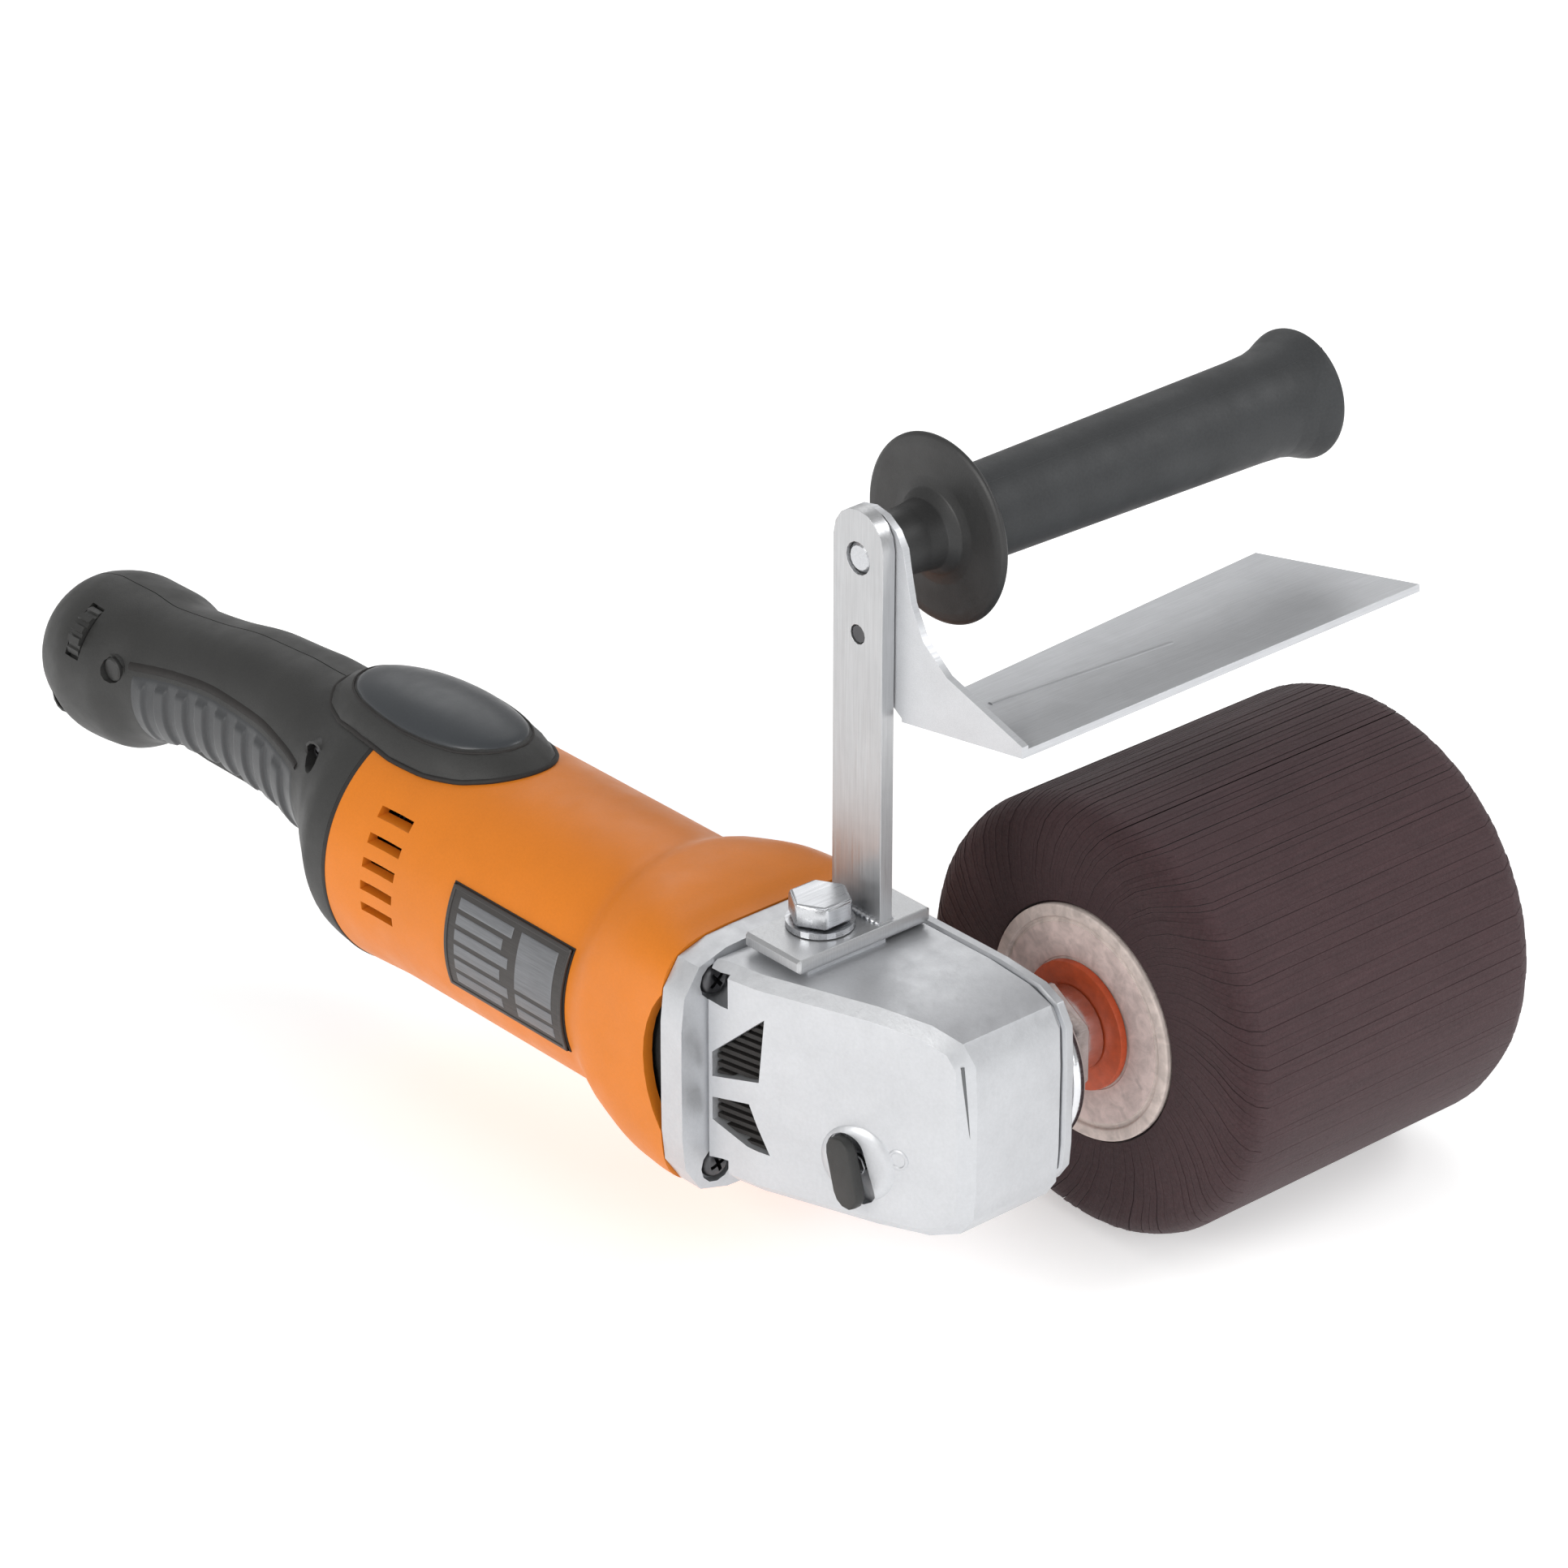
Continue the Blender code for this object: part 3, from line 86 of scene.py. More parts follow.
# ---- materials ----
class Look:
    """A Principled material built up from noise layers in object coordinates."""

    def __init__(self, name, roughness=0.5, metallic=0.0):
        self.material = bpy.data.materials.new(name)
        self.material.use_nodes = True
        self.tree = self.material.node_tree
        self.shader = self.tree.nodes["Principled BSDF"]
        self.shader.inputs["Roughness"].default_value = roughness
        self.shader.inputs["Metallic"].default_value = metallic
        self.place = self.add("TexCoord").outputs["Object"]
        self.height = None

    def add(self, kind, **values):
        """A new node of a kind, with the named input sockets set."""
        node = self.tree.nodes.new("ShaderNode" + kind)
        for name, value in values.items():
            node.inputs[name.replace("_", " ")].default_value = value
        return node

    def link(self, source, target):
        self.tree.links.new(source, target)

    def noise(self, size, detail, stretch=(1, 1, 1), distortion=0.0, roughness=0.6):
        """Noise with features of about the given size in millimetres."""
        mapping = self.add("Mapping", Scale=[1 / s for s in stretch])
        self.link(self.place, mapping.inputs["Vector"])
        node = self.add("TexNoise", Scale=1 / (size * MM), Detail=detail, Roughness=roughness,
                        Distortion=distortion)
        self.link(mapping.outputs["Vector"], node.inputs["Vector"])
        return node.outputs["Fac"]

    def cells(self, size):
        """Distance from the middle of cells of about the given size in millimetres."""
        node = self.add("TexVoronoi", Scale=1 / (size * MM))
        self.link(self.place, node.inputs["Vector"])
        return node.outputs["Distance"]

    def bands(self, size, axis, distortion=0.0):
        """Stripes across an axis, of the given pitch in millimetres."""
        node = self.add("TexWave", Scale=WAVE_PERIOD / (size * MM), Distortion=distortion)
        node.bands_direction = axis
        self.link(self.place, node.inputs["Vector"])
        return node.outputs["Fac"]

    def along(self, axis, start, end):
        """Rises from 0 to 1 between two places along an axis, in millimetres."""
        split = self.add("SeparateXYZ")
        self.link(self.place, split.inputs[0])
        node = self.add("MapRange", From_Min=start * MM, From_Max=end * MM)
        node.interpolation_type = "SMOOTHSTEP"
        self.link(split.outputs[axis], node.inputs["Value"])
        return node.outputs["Result"]

    def between(self, factor, low, high, start=0.3, end=0.7):
        """Ramp of a factor onto colours or greys."""
        node = self.add("ValToRGB")
        for element, place, value in zip(node.color_ramp.elements, (start, end), (low, high)):
            element.position = place
            element.color = (*value, 1.0) if isinstance(value, tuple) else (value,) * 3 + (1.0,)
        self.link(factor, node.inputs["Fac"])
        return node.outputs["Color"]

    def tones(self, factor, colour, low, high, start=0.3, end=0.7):
        """Ramp of a factor between two tints of a colour."""
        return self.between(factor, tint(colour, low), tint(colour, high), start, end)

    def blend(self, one, other, factor, mode="MIX"):
        """One colour laid over another by a number or a layer."""
        node = self.add("Mix")
        node.data_type = "RGBA"
        node.blend_type = mode
        colours = [s for s in node.inputs if s.type == "RGBA"]
        for socket, value in zip(colours, (one, other)):
            self.link(value, socket)
        if isinstance(factor, float):
            node.inputs[0].default_value = factor
        else:
            self.link(factor, node.inputs[0])
        return next(s for s in node.outputs if s.type == "RGBA")

    def colour(self, output):
        self.link(output, self.shader.inputs["Base Color"])

    def rough(self, factor, low, high):
        self.link(self.between(factor, low, high), self.shader.inputs["Roughness"])

    def bump(self, factor, depth):
        """Adds relief of a given depth in millimetres on top of the layers so far."""
        node = self.add("Bump", Distance=depth * MM)
        self.link(factor, node.inputs["Height"])
        if self.height is not None:
            self.link(self.height, node.inputs["Normal"])
        self.height = node.outputs["Normal"]
        self.link(self.height, self.shader.inputs["Normal"])

    def set(self, **values):
        """Sets sockets of the shader itself, with _ for a space in a name."""
        for name, value in values.items():
            self.shader.inputs[name.replace("_", " ")].default_value = value


def tint(colour, factor):
    return tuple(min(c * factor, 1.0) for c in colour)


def moulded(name, colour, roughness, grain, depth, spread):
    """Injection-moulded plastic: spark-eroded grain, slight flow mottling, rubbed patches."""
    look = Look(name, roughness)
    broad, fine = (look.tones(look.noise(*grade), colour, 1 - spread, 1 + spread)
                   for grade in ((22, 2), (0.7, 3)))
    look.colour(look.blend(broad, fine, 0.45))
    look.rough(look.noise(9, 4), roughness - 0.06, roughness + 0.07)
    look.bump(look.noise(grain, 4, roughness=0.7), depth)
    return look


def cast(name, colour):
    """Die-cast alloy, shot-blasted: pebbled grain, cloudy tone, faint flow lines."""
    look = Look(name, 0.42, 0.72)
    cloud = look.tones(look.noise(16, 4), colour, 0.93, 1.05)
    speck = look.tones(look.noise(0.9, 4), colour, 0.9, 1.06)
    look.colour(look.blend(cloud, speck, 0.4))
    look.rough(look.noise(5, 5), 0.36, 0.5)
    look.bump(look.noise(7, 3), 0.10)
    look.bump(look.noise(0.55, 4, roughness=0.7), 0.035)
    return look


def brushed(name, colour, roughness, stretch, metallic=1.0, tone=0.12):
    """Rolled or turned steel with drawn lines and faint zinc blooms."""
    look = Look(name, roughness, metallic)
    lines = look.tones(look.noise(0.35, 3, stretch), colour, 1 - tone, 1 + tone)
    bloom = look.tones(look.noise(12, 4, distortion=0.6), colour, 0.92, 1.06)
    look.colour(look.blend(lines, bloom, 0.5))
    look.rough(look.noise(0.6, 3, stretch), roughness - 0.07, roughness + 0.1)
    look.bump(look.noise(0.3, 3, stretch), 0.012)
    return look


def abrasive(name):
    """Coated cloth: maroon-brown grit, streaked along the leaves, in broad patches and darker over the drum's near
    end.
    """
    look = Look(name, 0.88)
    grit = look.between(look.noise(0.5, 3), (0.032, 0.014, 0.016), (0.064, 0.029, 0.033))
    streak = look.between(look.noise(0.8, 3, (1, 26, 1)), (0.029, 0.013, 0.015),
                          (0.070, 0.032, 0.036))
    patch = look.between(look.noise(14, 4), (0.038, 0.018, 0.021), (0.057, 0.027, 0.031))
    cloth = look.blend(look.blend(grit, streak, 0.55), patch, 0.35)
    # darker over the drum's near end, by place along Y
    faces = look.along("Y", CENTRE.y / MM + 61.0, CENTRE.y / MM + 67.5)
    deep = look.blend(cloth, look.between(look.noise(3, 3), (0.62, 0.50, 0.52),
                                          (0.74, 0.60, 0.62)), 1.0, "MULTIPLY")
    look.colour(look.blend(deep, cloth, faces))
    look.rough(look.noise(0.8, 2), 0.8, 0.95)
    look.bump(look.noise(0.45, 4, roughness=0.75), 0.12)
    look.set(Sheen_Weight=0.08)
    return look


def wound(name, colour, axis):
    """Varnished enamel wire in close turns."""
    look = Look(name, 0.32, 0.85)
    turn = look.bands(0.8, axis, 0.4)
    look.colour(look.tones(turn, colour, 0.45, 1.1, 0.1, 0.7))
    look.rough(look.noise(3, 3), 0.25, 0.45)
    look.bump(turn, 0.15)
    return look


def laminated(name, colour):
    """A stack of thin steel sheets, seen across their edges."""
    look = Look(name, 0.45, 0.9)
    sheet = look.bands(0.5, "X", 0.1)
    look.colour(look.tones(sheet, colour, 0.55, 1.1, 0.1, 0.6))
    look.rough(look.noise(4, 3), 0.38, 0.55)
    look.bump(sheet, 0.04)
    return look


def board(name, colour):
    """Pressed fibre board: cloudy, flecked, slightly stained."""
    look = Look(name, 0.68)
    fleck = look.tones(look.cells(2.2), colour, 0.86, 1.06, 0.1, 0.5)
    stain = look.tones(look.noise(5, 5, distortion=0.8), colour, 0.66, 1.16, 0.36, 0.62)
    look.colour(look.blend(fleck, stain, 0.6))
    look.rough(look.noise(2, 3), 0.55, 0.8)
    look.bump(look.noise(0.6, 4), 0.08)
    return look


def lacquered(name, colour):
    """Lacquer over steel, with rubbed rings where parts turn against it."""
    look = Look(name, 0.4, 0.15)
    coat = look.tones(look.noise(3, 4), colour, 0.7, 1.15)
    worn = look.tones(look.noise(1.2, 5), colour, 1, 1.7, 0.62, 0.75)
    look.colour(look.blend(coat, worn, 0.35))
    look.rough(look.noise(2, 3), 0.3, 0.52)
    look.bump(look.noise(0.6, 3), 0.03)
    return look


ORANGE = (0.66, 0.187, 0.012)
BLACK = (0.029, 0.029, 0.028)
LOOKS = {
    "orange_shell": moulded("orange_nylon", ORANGE, 0.42, 0.5, 0.035, 0.06),
    "black_shell": moulded("black_nylon", BLACK, 0.50, 0.4, 0.06, 0.16),
    "grip_rubber": moulded("soft_grip", (0.046, 0.048, 0.051), 0.36, 0.8, 0.03, 0.12),
    "cast_alloy": cast("cast_aluminium", (0.575, 0.585, 0.605)),
    "zinc_steel": brushed("zinc_plated_steel", (0.56, 0.57, 0.59), 0.30, (1, 30, 1)),
    "dark_steel": brushed("blackened_steel", (0.10, 0.10, 0.105), 0.4, (1, 1, 20)),
    "lamination": laminated("stacked_steel", (0.30, 0.31, 0.33)),
    "copper_wire": wound("copper_windings", (0.72, 0.30, 0.14), "X"),
    "brass_part": brushed("brass", (0.72, 0.52, 0.22), 0.3, (20, 1, 1)),
    "carbon": moulded("carbon_brush", (0.025, 0.025, 0.027), 0.55, 0.3, 0.05, 0.25),
    "abrasive": abrasive("abrasive_cloth"),
    "core_board": board("fibre_board", (0.60, 0.51, 0.47)),
    "red_washer": lacquered("orange_red_lacquer", (0.55, 0.085, 0.025)),
    "data_plate": brushed("anodised_plate", (0.19, 0.195, 0.205), 0.42, (24, 1, 1), 0.7, 0.25),
}
SHEET = brushed("galvanised_sheet", (0.60, 0.61, 0.63), 0.46, (1, 40, 1), 0.75, 0.12)
UPRIGHT = brushed("bright_bar", (0.50, 0.505, 0.515), 0.36, (1, 1, 40), 0.85, 0.14)
FLANGE_BLACK = moulded("hand_guard_plastic", (0.026, 0.026, 0.026), 0.46, 0.5, 0.04, 0.2)
# near-black painted shadow, laid as beads, rings and inserts where only shade falls
SHADOW = moulded("painted_shadow", (0.014, 0.012, 0.011), 0.7, 0.6, 0.04, 0.3)
INLAY = moulded("smooth_inlay", (0.034, 0.038, 0.043), 0.38, 0.7, 0.02, 0.10)
CHROME = brushed("polished_steel", (0.76, 0.77, 0.79), 0.15, (1, 12, 1), 1.0, 0.05)
PLATE_DARK = brushed("dark_plate", (0.060, 0.056, 0.054), 0.45, (20, 1, 1), 0.5, 0.2)
LABEL = board("core_label", (0.62, 0.50, 0.47))
HANDLE_GRIP = moulded("handle_grip", (0.042, 0.044, 0.046), 0.54, 0.8, 0.03, 0.2)
# dark alloy colour: painted shade for the groove bead on the gear head's nose
GROOVE_SHADE = cast("groove_shade", (0.14, 0.145, 0.15))
for slot in ("black_shell", "grip_rubber"):
    LOOKS[slot].set(Specular_IOR_Level=0.42)
LOOKS["orange_shell"].set(Specular_IOR_Level=0.33)
HANDLE_GRIP.set(Specular_IOR_Level=0.3)

SLOT_OF = {row["node"]: row["material_slot"] for row in frame["record"]["subparts"]}
BODY_OF = {node: body for body, nodes in frame["record"]["behaviour"]["bodies"].items()
           for node in nodes}


def dress(obj, look):
    obj.data.materials.clear()
    obj.data.materials.append(look.material)
    return obj


for node, obj in frame["nodes"].items():
    dress(obj, LOOKS[SLOT_OF[node]])


# ---- shapes ----
def bare(name, shape):
    """Turn a bmesh into an object without a body or a material."""
    mesh = bpy.data.meshes.new(name)
    shape.to_mesh(mesh)
    shape.free()
    obj = bpy.data.objects.new(name, mesh)
    bpy.context.scene.collection.objects.link(obj)
    return obj


def shown(name, shape, body, slot, look=None, angle=SMOOTH_ANGLE):
    """Turn a bmesh in world coordinates into a piece that rides on a body."""
    obj = bare(name, shape)
    layers = obj.data.attributes
    if "custom_normal" in layers:
        layers.remove(layers["custom_normal"])
    obj.data.shade_smooth()
    obj.data.set_sharp_from_angle(angle=math.radians(angle))
    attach(obj, body)
    return dress(obj, look or LOOKS[slot])


def welded(node, flat=0.6):
    """A CAD node's mesh with its facets joined and its flat triangles merged."""
    shape = bmesh.new()
    shape.from_mesh(frame["nodes"][node].data)
    bmesh.ops.remove_doubles(shape, verts=shape.verts, dist=WELD_DISTANCE)
    bmesh.ops.dissolve_limit(shape, angle_limit=math.radians(flat), verts=shape.verts,
                             edges=shape.edges)
    return shape


def applied(obj):
    """A new mesh of the object with its modifiers or its bevel applied."""
    bpy.context.view_layer.update()
    graph = bpy.context.evaluated_depsgraph_get()
    return bpy.data.meshes.new_from_object(obj.evaluated_get(graph))


def stand_in(node, suffix, shape, look=None, angle=SMOOTH_ANGLE):
    """A piece shown instead of a CAD node, on the node's body and in its slot."""
    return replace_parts(shown(f"{node}_{suffix}", shape, BODY_OF[node], SLOT_OF[node], look,
                             angle), node)


def refined(node, rounding, look):
    """A smooth copy of a CAD node with rounded edges, which stands for the node."""
    obj = stand_in(node, "finish", welded(node), look)
    if rounding:
        bevel = obj.modifiers.new("Rounding", "BEVEL")
        bevel.width = rounding * MM
        bevel.segments = 3
        bevel.limit_method = "ANGLE"
        bevel.angle_limit = math.radians(SMOOTH_ANGLE)
        bevel.use_clamp_overlap = True
        bevel.harden_normals = True


def outward(shape):
    """The same bmesh with every face turned outwards."""
    bmesh.ops.recalc_face_normals(shape, faces=shape.faces)
    return shape


def strip(shape, near, far, closed=False):
    """Adds the quads between two lines of points, or between two rings."""
    if closed:
        near, far = [*near, near[0]], [*far, far[0]]
    for i in range(len(near) - 1):
        shape.faces.new((near[i], near[i + 1], far[i + 1], far[i]))


def lathe(shape, axis, centre, profile, segments=96):
    """Adds a turned skin from (radius, place along the axis) points, in millimetres."""
    turn = {"X": lambda r, t, a: (t, r * math.cos(a), r * math.sin(a)),
            "Y": lambda r, t, a: (r * math.sin(a), t, r * math.cos(a))}[axis]
    loops = []
    for radius, place in profile:
        count = segments if radius else 1
        loops.append([shape.verts.new(centre + Vector(turn(
            radius, place, 2 * math.pi * i / count)) * MM) for i in range(count)])
    pairs = list(zip(loops, loops[1:]))
    if len(loops[0]) > 1 and len(loops[-1]) > 1:
        pairs.append((loops[-1], loops[0]))
    for near, far in pairs:
        if len(near) == len(far):
            strip(shape, near, far, True)
            continue
        tip, ring = (near[0], far[::-1]) if len(near) == 1 else (far[0], near)
        for i in range(segments):
            shape.faces.new((ring[i], ring[(i + 1) % segments], tip))
    return shape


def turned(name, axis, centre, profile, body, slot, look=None, segments=96):
    """A piece turned from (radius, place along the axis) points, in millimetres."""
    shape = lathe(bmesh.new(), axis, centre, profile, segments)
    return shown(name, outward(shape), body, slot, look)


def softened(profile, radius=0.4, steps=3):
    """The same turned section with its corners rounded."""
    out = []
    count = len(profile)
    for i, point in enumerate(profile):
        if i in (0, count - 1) and (profile[0][0] == 0 or profile[-1][0] == 0):
            out.append(point)
            continue
        here, back, on = Vector(point), Vector(profile[i - 1]), Vector(profile[(i + 1) % count])
        cut = min(radius, 0.45 * (back - here).length, 0.45 * (on - here).length)
        start = here + (back - here).normalized() * cut
        end = here + (on - here).normalized() * cut
        for k in range(steps + 1):
            t = k / steps
            p = start * (1 - t) ** 2 + here * 2 * t * (1 - t) + end * t ** 2
            out.append((p.x, p.y))
    return out


# ---- abrasive drum ----
LEAVES = 216
LEAF_SWEEP = math.radians(20)
RIM_ROUNDING = 8.0
LEAF_GAP = 0.008         # half the slit between neighbouring leaves
LEAF_LAG = 0.06          # how far a leaf's trailing edge lies under the next leaf
LEAF_STATIONS = 9
LEAF_LEVELS = (0.0, 0.075, 0.09, 0.35, 0.6, 0.8, 0.9, 0.96, 1.0)


def flap_drum():
    """Overlapping abrasive leaves, each its own thin body, fanned round the core."""
    low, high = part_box("abrasive_flaps")
    middle = Vector(((low.x + high.x) / 2, 0, (low.z + high.z) / 2))
    outer = radius_of("abrasive_flaps")
    near, far = low.y / MM, high.y / MM
    inner = radius_of("drum_core") + 0.4
    pocket = radius_of("near_core_flange") + 0.3
    draw = random.Random(11)
    width = 2 * math.pi / LEAVES
    shape = bmesh.new()
    for leaf in range(LEAVES):
        base = 2 * math.pi * leaf / LEAVES
        tip = outer - 0.02 - draw.uniform(0.0, 0.10)
        skew = draw.uniform(-0.12, 0.12)
        ends = draw.uniform(0.0, 0.35), draw.uniform(0.0, 0.35)
        wave = [draw.uniform(0.0, 0.06) for _ in range(LEAF_STATIONS)]
        grid = []
        for level in LEAF_LEVELS:
            radius = inner + (tip - inner) * level
            over = max(0.0, radius - (outer - RIM_ROUNDING))
            pull = RIM_ROUNDING - math.sqrt(max(RIM_ROUNDING ** 2 - over ** 2, 0.0))
            hollow = 1.75 if radius < pocket else 0.0
            start = near + hollow + pull + ends[0] * level
            stop = far - hollow - pull - ends[1] * level
            sweep = LEAF_SWEEP * level ** 1.4 + skew * width * level
            row = []
            for side in (0, 1):
                gap = LEAF_GAP if side else -LEAF_GAP
                lag = LEAF_LAG if side == 0 and level > 0.95 else 0.0
                angle = base + sweep + side * width - gap / radius
                line = []
                for k in range(LEAF_STATIONS):
                    t = k / (LEAF_STATIONS - 1)
                    out = radius - lag - wave[k] * (level ** 6)
                    line.append(shape.verts.new((
                        middle.x + out * MM * math.sin(angle),
                        (start + (stop - start) * t) * MM,
                        middle.z + out * MM * math.cos(angle))))
                row.append(line)
            grid.append(row)
        for lower, upper in zip(grid, grid[1:]):
            strip(shape, lower[0], upper[0])
            strip(shape, lower[1][::-1], upper[1][::-1])
            shape.faces.new((lower[1][0], lower[0][0], upper[0][0], upper[1][0]))
            shape.faces.new((lower[0][-1], lower[1][-1], upper[1][-1], upper[0][-1]))
        strip(shape, grid[0][1], grid[0][0])
        strip(shape, grid[-1][0], grid[-1][1])
    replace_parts(shown("flap_leaves", outward(shape), "spindle_assembly", "abrasive",
                      angle=25), "abrasive_flaps")


flap_drum()

# ---- motor housing and rear handle: the faceted skin made round ----
# X, middle Z, half width, half height and squareness of the outer body, in millimetres.
BODY_SECTIONS = (
    (-352.0, 1.5, 10.0, 10.0, 2.0), (-348.5, 1.5, 16.3, 16.3, 2.0),
    (-341.5, 1.5, 21.4, 21.4, 2.0), (-329.0, 1.5, 24.5, 24.5, 2.0),
    (-317.0, 2.2, 24.1, 24.1, 2.0), (-304.0, 5.0, 20.0, 20.6, 2.0),
    (-285.0, 8.5, 18.0, 19.6, 2.1), (-262.0, 11.0, 18.5, 21.0, 2.2),
    (-244.0, 11.0, 19.5, 22.2, 2.2), (-230.0, 9.2, 21.6, 24.0, 2.1),
    (-218.0, 7.0, 25.4, 26.8, 2.0), (-208.0, 3.0, 31.5, 32.5, 2.0),
    (-199.0, 0.4, 36.2, 36.4, 2.0), (-191.0, 0.0, 37.0, 37.0, 2.0),
    (-182.0, 0.0, 36.6, 36.6, 2.0), (-168.0, 0.0, 36.0, 36.0, 2.0),
    (-90.5, 0.0, 36.0, 36.0, 2.0), (-82.0, 0.0, 37.6, 38.4, 2.4),
    (-71.0, 0.0, 37.9, 39.0, 3.2), (-59.0, 0.0, 38.0, 37.4, 4.3),
    (-50.0, 0.0, 38.0, 35.4, 5.5))


def section_slopes():
    """Slope of every section value at every listed X, without overshoot between them."""
    slopes = []
    for i, here in enumerate(BODY_SECTIONS):
        if i in (0, len(BODY_SECTIONS) - 1):
            slopes.append((0.0,) * 4)
            continue
        back, on = BODY_SECTIONS[i - 1], BODY_SECTIONS[i + 1]
        left, right = here[0] - back[0], on[0] - here[0]
        row = []
        for k in range(1, 5):
            before, after = (here[k] - back[k]) / left, (on[k] - here[k]) / right
            if before * after <= 0:
                row.append(0.0)
            else:
                heavy, light = 2 * right + left, right + 2 * left
                row.append((heavy + light) / (heavy / before + light / after))
        slopes.append(tuple(row))
    return slopes


SLOPES = section_slopes()


def body_section(x, straight=False):
    """Middle height, half width, half height and squareness of the body at an X."""
    x = min(max(x, BODY_SECTIONS[0][0]), BODY_SECTIONS[-1][0])
    i = max(k for k, row in enumerate(BODY_SECTIONS[:-1]) if row[0] <= x)
    near, far = BODY_SECTIONS[i], BODY_SECTIONS[i + 1]
    width = far[0] - near[0]
    t = (x - near[0]) / width
    if straight:
        return [a + (b - a) * t for a, b in zip(near[1:], far[1:])]
    return [a * (1 + 2 * t) * (1 - t) ** 2 + b * t * t * (3 - 2 * t)
            + width * (m * t * (1 - t) ** 2 - n * t * t * (1 - t))
            for a, b, m, n in zip(near[1:], far[1:], SLOPES[i], SLOPES[i + 1])]


def reach(angle, half_y, half_z, squareness):
    """Distance from a superellipse's middle to its edge."""
    c, s = abs(math.cos(angle)) / half_y, abs(math.sin(angle)) / half_z
    return (c ** squareness + s ** squareness) ** (-1 / squareness)


def on_body(x, angle, lift=0.0):
    """A point on the body's smooth skin, at an angle from +Y over the top."""
    middle, *section = body_section(x)
    radius = reach(angle, *section) + lift
    return at(x, radius * math.cos(angle), middle + radius * math.sin(angle))


def round_skin(node, limit):
    """The CAD node with its outer facets divided, up to a longest edge in millimetres,
    and laid on the smooth skin."""
    shape = welded(node, 0.05)

    def local(vert):
        p = (vert.co - CENTRE) / MM
        middle, *section = body_section(p.x, straight=True)
        return p.x, math.atan2(p.z - middle, p.y), math.hypot(p.y, p.z - middle), section

    def skin(vert):
        _, turn, radius, section = local(vert)
        return 0.955 < radius / reach(turn, *section) < 1.02

    for _ in range(6):
        bmesh.ops.triangulate(shape, faces=[f for f in shape.faces if len(f.verts) > 3])
        outer = {v: skin(v) for v in shape.verts}
        long_edges = set()
        for face in shape.faces:
            if not all(outer[v] for v in face.verts):
                continue
            middle = face.calc_center_median() - CENTRE
            if abs(face.normal.x) > 0.9 or face.normal.y * middle.y + face.normal.z * (
                    middle.z - body_section(middle.x / MM)[0] * MM) < 0.006:
                continue
            long_edges.update(e for e in face.edges if e.calc_length() > limit * MM)
        if not long_edges:
            break
        bmesh.ops.subdivide_edges(shape, edges=list(long_edges), cuts=1)
    bmesh.ops.triangulate(shape, faces=[f for f in shape.faces if len(f.verts) > 3])
    for vert in shape.verts:
        if skin(vert):
            x, turn, _, _ = local(vert)
            vert.co = on_body(x, turn)
    stand_in(node, "finish", shape, angle=30)


round_skin("motor_housing", 3.2)
round_skin("rear_handle_left", 3.0)
round_skin("rear_handle_right", 3.0)

# ---- CAD nodes that only need finer edges ----
ROUNDING = {
    "gear_housing": 1.3, "spindle_cover": 0.9, "top_panel": 0.0, "fan_baffle": 0.2,
    "spindle_lock_button": 0.5, "bracket_bolt": 0.5, "bracket_shim": 0.3, "trigger": 0.4,
    "lock_on_button": 0.3, "cord_inlet": 0.3, "drive_nut": 0.4, "clamp_nut": 0.4,
    "guard_plate": 0.4, "handle_bracket": 0.7}
FINISH = {"drive_nut": CHROME, "clamp_nut": CHROME, "guard_plate": SHEET,
          "handle_bracket": UPRIGHT}
for node, rounding in ROUNDING.items():
    refined(node, rounding, FINISH.get(node))


def carved(obj, *cutters):
    """Cut other shapes out of a piece and keep only the result."""
    for cutter in cutters:
        modifier = obj.modifiers.new("Cut", "BOOLEAN")
        modifier.solver = "EXACT"
        modifier.object = cutter
    mesh = applied(obj)
    obj.modifiers.clear()
    obj.data = mesh
    for cutter in cutters:
        bpy.data.objects.remove(cutter)
    return obj


def block(centre, size, turn):
    """Cutter: a box of a size in millimetres, turned by a matrix about its centre."""
    shape = bmesh.new()
    bmesh.ops.create_cube(shape, size=1.0)
    bmesh.ops.scale(shape, vec=[v * MM for v in size], verts=shape.verts)
    bmesh.ops.rotate(shape, matrix=turn, verts=shape.verts)
    bmesh.ops.translate(shape, vec=centre, verts=shape.verts)
    return bare("cutter", shape)


# ---- screws ----
def screw(name, axis, face, out, radius, height, shank, turn):
    """Pan head with a cross recess; face is where it sits, out is +1 or -1 along the axis."""
    profile = [(0, -shank), (0.42 * radius, -shank), (0.5 * radius, -shank + 0.5),
               (0.5 * radius, 0), (0.93 * radius, 0), (radius, 0.12 * height),
               (radius, 0.45 * height), (0.93 * radius, 0.7 * height),
               (0.75 * radius, 0.9 * height), (0.4 * radius, height), (0, height)]
    head = turned(name, axis, face, [(r, out * t) for r, t in profile], "root",
                  "dark_steel", segments=40)
    column = "XYZ".index(axis)
    blades = []
    for quarter in (turn, turn + 90):
        size = [1.15 * radius] * 3
        size[column] = height * 1.3
        size[(column + 1) % 3] = 0.26 * radius
        top = face.copy()
        top[column] += out * height * MM
        blades.append(block(top, size, Matrix.Rotation(math.radians(quarter), 3, axis)))
    return carved(head, *blades)


HOUSING_SCREW_HEAD = 3.4
COVER_FACE = 16.8        # from the spindle cover's inner end to the face its screws sit on
HANDLE_SCREW_SINK = 4.8


